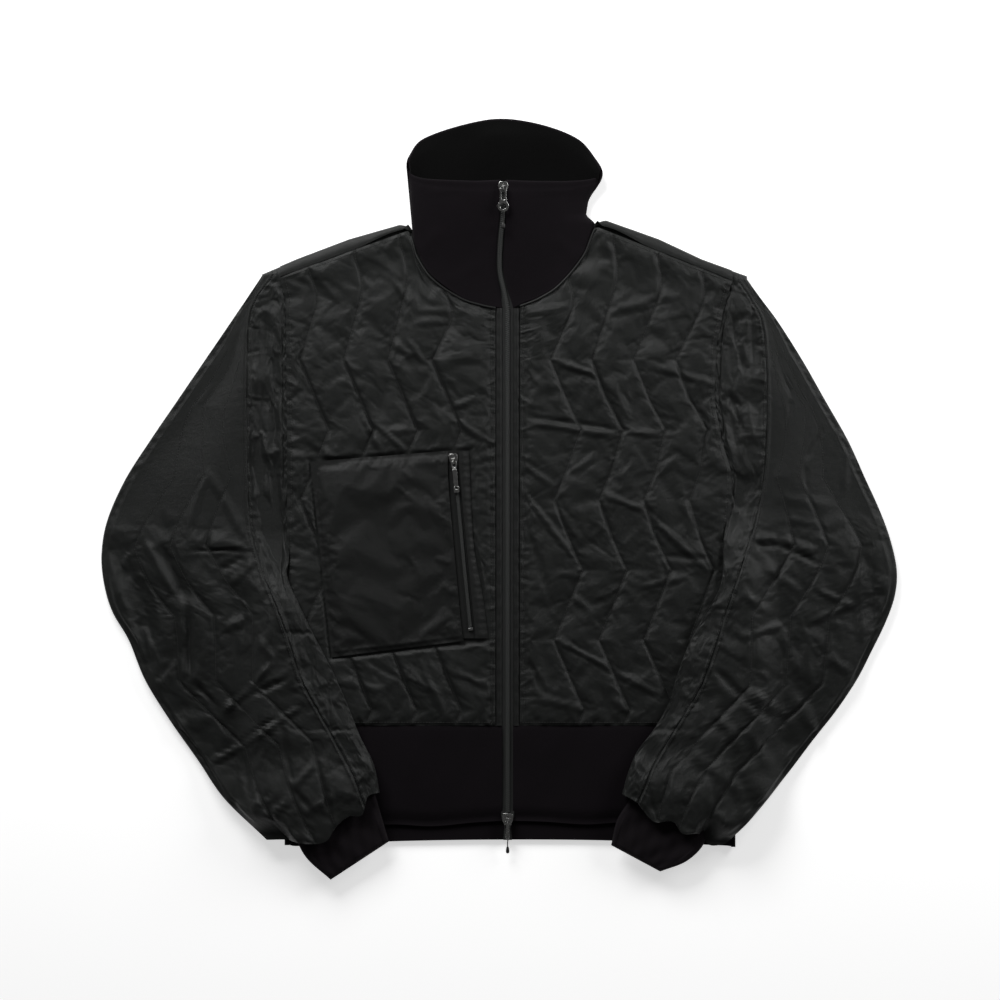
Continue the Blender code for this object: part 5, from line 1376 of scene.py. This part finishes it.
def cut_plate(outlines, thick, bevel):
    """A flat plate with rounded edges from its outline and the outlines of its holes."""
    curve = bpy.data.curves.new("plate", "CURVE")
    curve.dimensions = "2D"
    curve.fill_mode = "BOTH"
    curve.extrude = thick / 2.0 - bevel
    curve.bevel_depth = bevel
    curve.bevel_resolution = 2
    curve.offset = -bevel
    for outline in outlines:
        spline = curve.splines.new("POLY")
        spline.points.add(len(outline) - 1)
        for point, (x, y) in zip(spline.points, outline):
            point.co = (x, y, 0.0, 1.0)
        spline.use_cyclic_u = True
    holder = bpy.data.objects.new("plate", curve)
    bpy.context.scene.collection.objects.link(holder)
    mesh = bpy.data.meshes.new_from_object(holder.evaluated_get(bpy.context.evaluated_depsgraph_get()))
    points = np.empty(len(mesh.vertices) * 3)
    mesh.vertices.foreach_get("co", points)
    faces = [tuple(face.vertices) for face in mesh.polygons]
    bpy.data.objects.remove(holder)
    return points.reshape(-1, 3), faces


def circle(x, y, radius, count=28, start=0.0, end=2.0 * math.pi):
    """Outline points of a circle or of an arc of it."""
    turn = np.linspace(start, end, count, endpoint=end - start < 6.28)
    return [(x + radius * math.cos(a), y + radius * math.sin(a)) for a in turn]


def hard_piece(name, parts, place, finish, body, replaces=True):
    """Joins parts, made round a slider's bar, and puts them where that bar is."""
    points, faces = [], []
    for part_points, part_faces in parts:
        first = sum(len(done) for done in points)
        points.append(part_points)
        faces += [tuple(int(v) + first for v in face) for face in part_faces]
    mesh = make_mesh(name, placed(np.concatenate(points), place), faces, crease=50.0)
    add_object(name, mesh, finish, body, replaces)


def placed(points, place):
    """Points made round a slider's bar, turned and moved to where that bar is."""
    x, y, z, turn, tilt = place
    lean = np.array(((1, 0, 0), (0, math.cos(tilt), -math.sin(tilt)), (0, math.sin(tilt), math.cos(tilt))))
    spin = np.array(((math.cos(turn), -math.sin(turn), 0), (math.sin(turn), math.cos(turn), 0), (0, 0, 1)))
    return np.asarray(points, float) @ (spin @ lean).T + np.array((x, y, z))


def cord(name, line, end, place, finish, body):
    """The thin cord hanging from a pull, with the moulded bead on its end."""
    shape = ((0.0, 0.25), (0.1, 0.6), (0.35, 0.84), (0.7, 1.0), (0.92, 0.82), (1.0, 0.3))
    line = through(line, np.linspace(0.0, len(line) - 1.0, 13))
    long, wide = end
    last = line[-1] + (0.0, 0.5, 0.0)
    drop = [(*(last - (0.0, long * t, 0.0)), wide / 2.0 * r) for t, r in shape]
    rows = [(*spot, 0.6) for spot in line] + drop
    turn = np.linspace(0.0, 2.0 * math.pi, 12, endpoint=False)
    rings = [[(x + r * math.cos(a), y, z + 0.7 * r * math.sin(a)) for a in turn] for x, y, z, r in rows]
    hard_piece(name, [rounds(np.array(rings))], place, finish["cord"], body, False)


def slider_parts(width, length):
    """Slider round its bar: shield-shaped plates, side rails, bridge and the bar itself."""
    half, end = width / 2.0, length / 2.0
    edge = [(0.62, -1.0), (0.8, -0.5), (1.0, 0.1), (1.0, 0.62), (0.72, 1.0)]
    shield = [(-half * edge[0][0], -end)] + [(half * x, end * y) for x, y in edge]
    shield += [(-half * x, end * y) for x, y in edge[:0:-1]]
    points, faces = cut_plate([shield], 1.5, 0.45)
    plate = (points - UP * 3.2, faces)
    rails = [swept([(side * half * 0.78, -end * 0.5, -3.6), (side * half * 0.96, end * 0.1, -3.7),
                    (side * half * 0.94, end * 0.7, -3.6)], 1.1, 2.0) for side in (-1, 1)]
    arch = np.linspace(0.0, math.pi, 15)
    bridge = swept([(0.0, end * 0.62 * math.cos(a), -2.9 + 3.9 * math.sin(a) ** 0.7) for a in arch], 3.0, 1.1)
    bar = swept([(-2.6, 0.0, -0.2), (0.0, 0.0, -0.2), (2.6, 0.0, -0.2)], 1.3, 1.3)
    ears = [swept([(side * 2.5, 0.0, -2.8), (side * 2.5, 0.0, 0.5)], 1.0, 2.4) for side in (-1, 1)]
    return [plate, *rails, bridge, bar, *ears]


def rounded(width, length, corner, y=0.0):
    """Outline of a rounded rectangle, its middle at a height y."""
    half, end = width / 2.0 - corner, length / 2.0 - corner
    quarter = math.pi / 2.0
    corners = ((half, end, 0.0), (-half, end, quarter), (-half, -end, 2 * quarter), (half, -end, 3 * quarter))
    return [spot for x, h, start in corners for spot in circle(x, y + h, corner, 7, start, start + quarter)]


def hardware(finish):
    """Sliders with their pulls. Each is made round its slider's bar, where the pull's hinge is."""
    metal_finish = finish["metal"]
    top_y = ZIP_TOP - SLIDER_LENGTH / 2.0 + GAP
    top_place = (float(zip_x(top_y)), top_y, CHAIN_LOW + 4.4 + float(collar_lift(ZIP_TOP)) + GAP, 0.0, 0.0)
    hard_piece("top_slider", slider_parts(10.4, 12.0), top_place, metal_finish, "jacket")
    neck = [(4.2, -1.4), (3.8, -5.0), (3.6, -13.0), (4.2, -16.6)]
    keyhole = neck + circle(0.0, -21.4, 6.2, 25, 0.82, -math.pi - 0.82) + [(-x, y) for x, y in neck[::-1]]
    plate = cut_plate([keyhole, circle(0.0, -21.4, 3.2), rounded(3.2, 10.0, 1.2, -9.4)], 1.6, 0.5)
    eye = swept([(-1.8, 0.0, 0.0), (0.0, 0.0, 0.0), (1.8, 0.0, 0.0)], 3.4, 3.2)
    top_place = (*top_place[:3], 0.0, 0.09)
    hard_piece("top_pull", [eye, plate], top_place, metal_finish, "top_tab")
    leash = [(0.0, -24.4, 0.2), (0.9, -28.0, 0.4), (0.6, -33.0, 0.2), (0.0, -39.5, 0.0)]
    cord("top_leash", leash, (7.0, 4.8), top_place, finish, "top_tab")
    bottom_y = CHAIN_END - GAP - SLIDER_LENGTH / 2.0
    bottom_place = (ZIP_X, bottom_y, RIB_TOP + GAP + 4.4, 0.0, 0.0)
    hard_piece("bottom_slider", slider_parts(12.0, 13.0), bottom_place, metal_finish, "jacket")
    half_tab = [(2.6, -1.4), (1.9, -6.0), (1.7, -14.0), (2.4, -19.0), (1.5, -22.4)]
    tab = cut_plate([half_tab + [(-x, y) for x, y in half_tab[::-1]]], 1.5, 0.4)
    bottom_place = (*bottom_place[:3], 0.0, 0.17)
    hard_piece("bottom_pull", [eye, tab], bottom_place, metal_finish, "bottom_tab")
    leash = [(0.0, -21.4, 0.0), (0.2, -24.0, 0.0), (-0.1, -27.0, 0.0), (0.0, -31.0, 0.0)]
    cord("bottom_leash", leash, (8.0, 4.0), bottom_place, finish, "bottom_tab")
    turn = math.atan2(4.5, 45.0)
    place = (-51.2, 45.0, 15.8, turn, 0.0)
    hard_piece("pocket_slider", slider_parts(9.6, 12.0), place, metal_finish, "jacket")
    collar_ring = cut_plate([rounded(6.4, 9.0, 2.4, -6.4), rounded(3.0, 4.4, 1.3, -6.8)], 1.6, 0.5)
    tab = cut_plate([rounded(5.0, 19.0, 1.0, -20.4)], 1.6, 0.45)
    clip = cut_plate([rounded(6.2, 7.0, 1.2, -33.6), rounded(3.2, 2.4, 0.8, -32.0)], 2.2, 0.5)
    small_eye = swept([(-1.5, 0.0, 0.0), (0.0, 0.0, 0.0), (1.5, 0.0, 0.0)], 3.2, 3.0)
    hard_piece("pocket_pull", [small_eye, collar_ring, tab, clip], (*place[:3], turn, 0.03), metal_finish,
               "pocket_tab")
    stop = cut_plate([rounded(5.0, 3.0, 0.7)], 2.0, 0.5)
    hard_piece("pocket_stop", [stop], (float(straight(POCKET_CHAIN, -142.0)), -142.0, 12.4, 0.1, 0.0),
               metal_finish, "jacket")


# ---------------------------------------------------------------- pocket

def between_edges(left, right, rows, columns, ends):
    """X and Y over a panel between two edges, rows of (height, across), and its shares across and down."""
    u = np.linspace(0.0, 1.0, columns)[None, :]
    v = np.linspace(0.0, 1.0, rows)[:, None]
    y_left = ends[0][0] + (ends[0][1] - ends[0][0]) * v
    y_right = ends[1][0] + (ends[1][1] - ends[1][0]) * v
    x = straight(left, y_left) * (1.0 - u) + smooth(right, y_right) * u
    y = y_left + (y_right - y_left) * u
    return x, y, u + 0.0 * v, v + 0.0 * u


POCKET_FOLDS = [
    (-190, 20, -120, 4, 16, 0.9), (-120, 20, -70, -20, 14, 0.9), (-180, -40, -130, -70, 16, 0.8),
    (-110, -40, -80, -100, 14, 0.9), (-160, -100, -90, -130, 16, 0.7), (-90, 10, -66, -40, 10, -0.7),
]


def pocket(finish):
    """The patch with its folds, and beside its open edge the zip and the strip that holds it."""
    x, y, u, v = between_edges(POCKET_LEFT, POCKET_LIP, 73, 57, POCKET_PATCH_ENDS)
    wide, long = POCKET_SIZE
    tape_top = POCKET_FLOOR + 0.8
    edge = np.minimum(np.minimum(u, 1.0 - u) * wide, np.minimum(v, 1.0 - v) * long)
    dome = 1.3 * (np.sin(math.pi * u) * np.sin(math.pi * v)) ** 0.5
    z = POCKET_PATCH_TOP - 1.9 + 1.9 * over(-1.0, 13.0, np.minimum(u * wide, v * long)) + dome
    z = z - 1.2 * over(6.0, 0.0, (1.0 - v) * long) + 0.8 * over(12.0, 2.0, (1.0 - u) * wide)
    z += (creases(x, y, POCKET_FOLDS) + 0.9 * paper(x, y, 5, 38.0, 0.4, 1.3)) * over(0.0, 20.0, edge)
    grid = fine(settle(np.stack([x, y, z], -1), edge < 0.1, -0.006, 0.2, 2.0))
    gap = fine_values(edge)
    grid[..., 2] += gathers(grid[..., 1] + grid[..., 0], np.clip(gap, 0.0, None), 8, 0.25, reach=6.0)
    grid[..., 2] -= 0.45 * np.exp(-((gap - 3.2) / 0.9) ** 2)
    grid[..., 2] = np.maximum(grid[..., 2], tape_top)
    cloth("pocket_patch", grid, levelled(grid, POCKET_FLOOR), finish["plain"], "shell")
    lip = [(h, a + GAP + 0.1) for h, a in POCKET_LIP]
    x, y, u, v = between_edges(lip, [(h, a + 4.2) for h, a in POCKET_CHAIN], 60, 5, POCKET_STRIP_ENDS)
    band = np.stack([x, y, 0.0 * x + tape_top], -1)
    cloth("pocket_tape", band, levelled(band, POCKET_FLOOR), finish["plain"], "tape", coarse=2)
    strip_in = [(h, a + 4.6) for h, a in POCKET_CHAIN]
    x, y, u, v = between_edges(strip_in, POCKET_STRIP_OUT, 130, 11, POCKET_STRIP_ENDS)
    z = POCKET_PATCH_TOP - 0.3 - 1.9 * over(0.25, 1.0, u)
    z = z + 0.3 * np.sin(math.pi * u) * np.sin(math.pi * v) ** 0.3
    z += 0.16 * (np.sin(y * 0.8) + np.sin(y * 0.33)) * over(0.0, 0.6, u)
    band = np.stack([x, y, z], -1)
    cloth("pocket_strip", band, levelled(band, POCKET_FLOOR), finish["plain"], "shell", coarse=3)
    y = np.linspace(-140.0, 38.0, 60)
    line = np.stack([straight(POCKET_CHAIN, y), y, 0.0 * y + tape_top + GAP + 0.85], -1)
    teeth("pocket_chain", line, 1.9, 1.7, 1.8, finish)


# ---------------------------------------------------------------- sewing

def sewing(grids, finish):
    """Stitches along the quilting lines, but not under the pocket, and along the seams."""
    quilting, seams = [], []
    shoulder_rows = 2 * PER_ROW * MORPH_ROWS
    for side in SIDES:
        front_grid, top, strip = grids["front", side], grids["top", side], grids["strip", side]
        for column in line_columns():
            line = front_grid[:, column]
            if side < 0:
                line = line[pocket_bed(line[:, 0], line[:, 1]) < 0.2]
            gaps = np.flatnonzero(np.linalg.norm(np.diff(line, axis=0), axis=1) > 12.0)
            quilting += np.split(line, gaps + 1)
        for k in range(1, SLEEVE_LINES):
            quilting.append(top[shoulder_rows:-1, 2 * (BEND_POINTS + PER_SLEEVE_LINE * k)])
        seams += [top[6:, -3], strip[6:, 3]]
        seams += [front_grid[2:-2, 1], front_grid[2, 2:-2], front_grid[-3, 2:-2], front_grid[2:-2, -3]]
    sew("quilting_stitches", quilting, finish)
    sew("seam_stitches", seams, finish)


def neck_cord(grids, finish):
    """Covered cord sewn into the neck seam."""
    for side, name in SIDES.items():
        edge = grids["front", side][-1]
        line = edge[np.abs(edge[:, 0]) < abs(NECK_CORNER[side]) - 1.0].copy()
        line[:, 2] = STITCH_TOP + 0.9
        mesh = make_mesh(f"neck_cord_{name}", *swept(line, 2.6, 2.6, sides=10))
        add_object(f"neck_cord_{name}", mesh, finish["plain"], replaces=False)


# ---------------------------------------------------------------- flat cuts of the cloth

def declare():
    """A table of the flat cut of each cloth piece, in metres, and what it lies on; it is built and then left
    unused.
    """
    rows = [
        # piece, width, length, area, lies on
        ("back_panel", 0.50, 0.57, 0.262, ["floor"]),
        ("front_right", 0.25, 0.545, 0.113, ["back_panel"]),
        ("front_left", 0.25, 0.55, 0.117, ["back_panel"]),
        ("hem_rib", 1.02, 0.13, 0.125, ["floor"]),
        ("collar_rib", 0.47, 0.135, 0.055, ["back_panel"]),
        ("pocket_patch", 0.155, 0.225, 0.031, ["front_right"]),
        ("pocket_strip", 0.024, 0.206, None, ["front_right"]),
        ("pocket_tape", 0.014, 0.206, 0.002, ["front_right"]),
        ("strip_right", 0.012, 0.46, 0.0038, ["back_panel"]),
        ("strip_left", 0.012, 0.46, 0.0038, ["back_panel"]),
        ("zip_tape_right", 0.011, 0.724, 0.0045, ["back_panel"]),
        ("zip_tape_left", 0.011, 0.724, 0.0045, ["back_panel"]),
    ]
    for side in SIDES.values():
        rows += [
            (f"sleeve_{side}_top", 0.19, 0.72, 0.095, ["floor"]),
            (f"sleeve_{side}_front", 0.07, 0.70, 0.03, ["floor", "back_panel"]),
            (f"sleeve_{side}_under", 0.20, 0.72, 0.09, ["floor", "back_panel"]),
            (f"cuff_{side}", 0.19, 0.07, 0.013, ["hem_rib"]),
        ]


# ---------------------------------------------------------------- floor, light, camera

def studio():
    """White floor, two soft lights and the camera straight above."""
    floor_finish = Finish("white_floor", Base_Color=(0.9, 0.9, 0.9, 1.0), Roughness=0.9,
                          Specular_IOR_Level=0.1, Emission_Color=(1.0, 1.0, 1.0, 1.0), Emission_Strength=0.55)
    bpy.ops.mesh.primitive_plane_add(size=9.0, location=(0.0, 0.0, -0.0004))
    floor = bpy.context.object
    floor.name = "floor"
    floor.data.materials.append(floor_finish.material)
    world = bpy.data.worlds.new("studio")
    bpy.context.scene.world = world
    world.use_nodes = True
    background = world.node_tree.nodes["Background"].inputs
    background["Color"].default_value = (1.0, 1.0, 1.0, 1.0)
    background["Strength"].default_value = 0.085
    lights = [
        # name, place, energy, width, height
        ("key_window", (-0.75, 1.5, 0.98), 35.0, 1.1, 0.8),
        ("fill_panel", (1.22, 0.76, 0.6), 12.8, 0.8, 0.6),
    ]
    for name, place, energy, width, height in lights:
        lamp = bpy.data.lights.new(name, "AREA")
        lamp.shape = "RECTANGLE"
        lamp.energy, lamp.size, lamp.size_y = energy, width, height
        holder = bpy.data.objects.new(name, lamp)
        holder.location = place
        holder.rotation_euler = (-Vector(place)).to_track_quat("-Z", "Y").to_euler()
        bpy.context.scene.collection.objects.link(holder)
    lens = bpy.data.cameras.new("camera")
    lens.lens, lens.sensor_width = 120.0, 36.0
    camera = bpy.data.objects.new("camera", lens)
    camera.location = (0.0, 0.0, VIEW_WIDTH * lens.lens / lens.sensor_width + VIEW_LEVEL)
    lens.clip_end = 20.0
    bpy.context.scene.collection.objects.link(camera)
    bpy.context.scene.camera = camera
    bpy.context.scene.view_settings.view_transform = "Standard"


def main():
    finish = finishes()
    grids = {}
    back(finish)
    for side in SIDES:
        grids["front", side] = front(side, finish)
        lie = Sleeve(side)
        grids["top", side] = sleeve_top(lie, finish)
        grids["strip", side] = sleeve_front(lie, finish)
        sleeve_under(lie, finish)
        cuff(side, finish)
    collar(finish)
    hem(finish)
    front_zip(finish)
    pocket(finish)
    neck_cord(grids, finish)
    sewing(grids, finish)
    hardware(finish)
    studio()
    declare()


main()
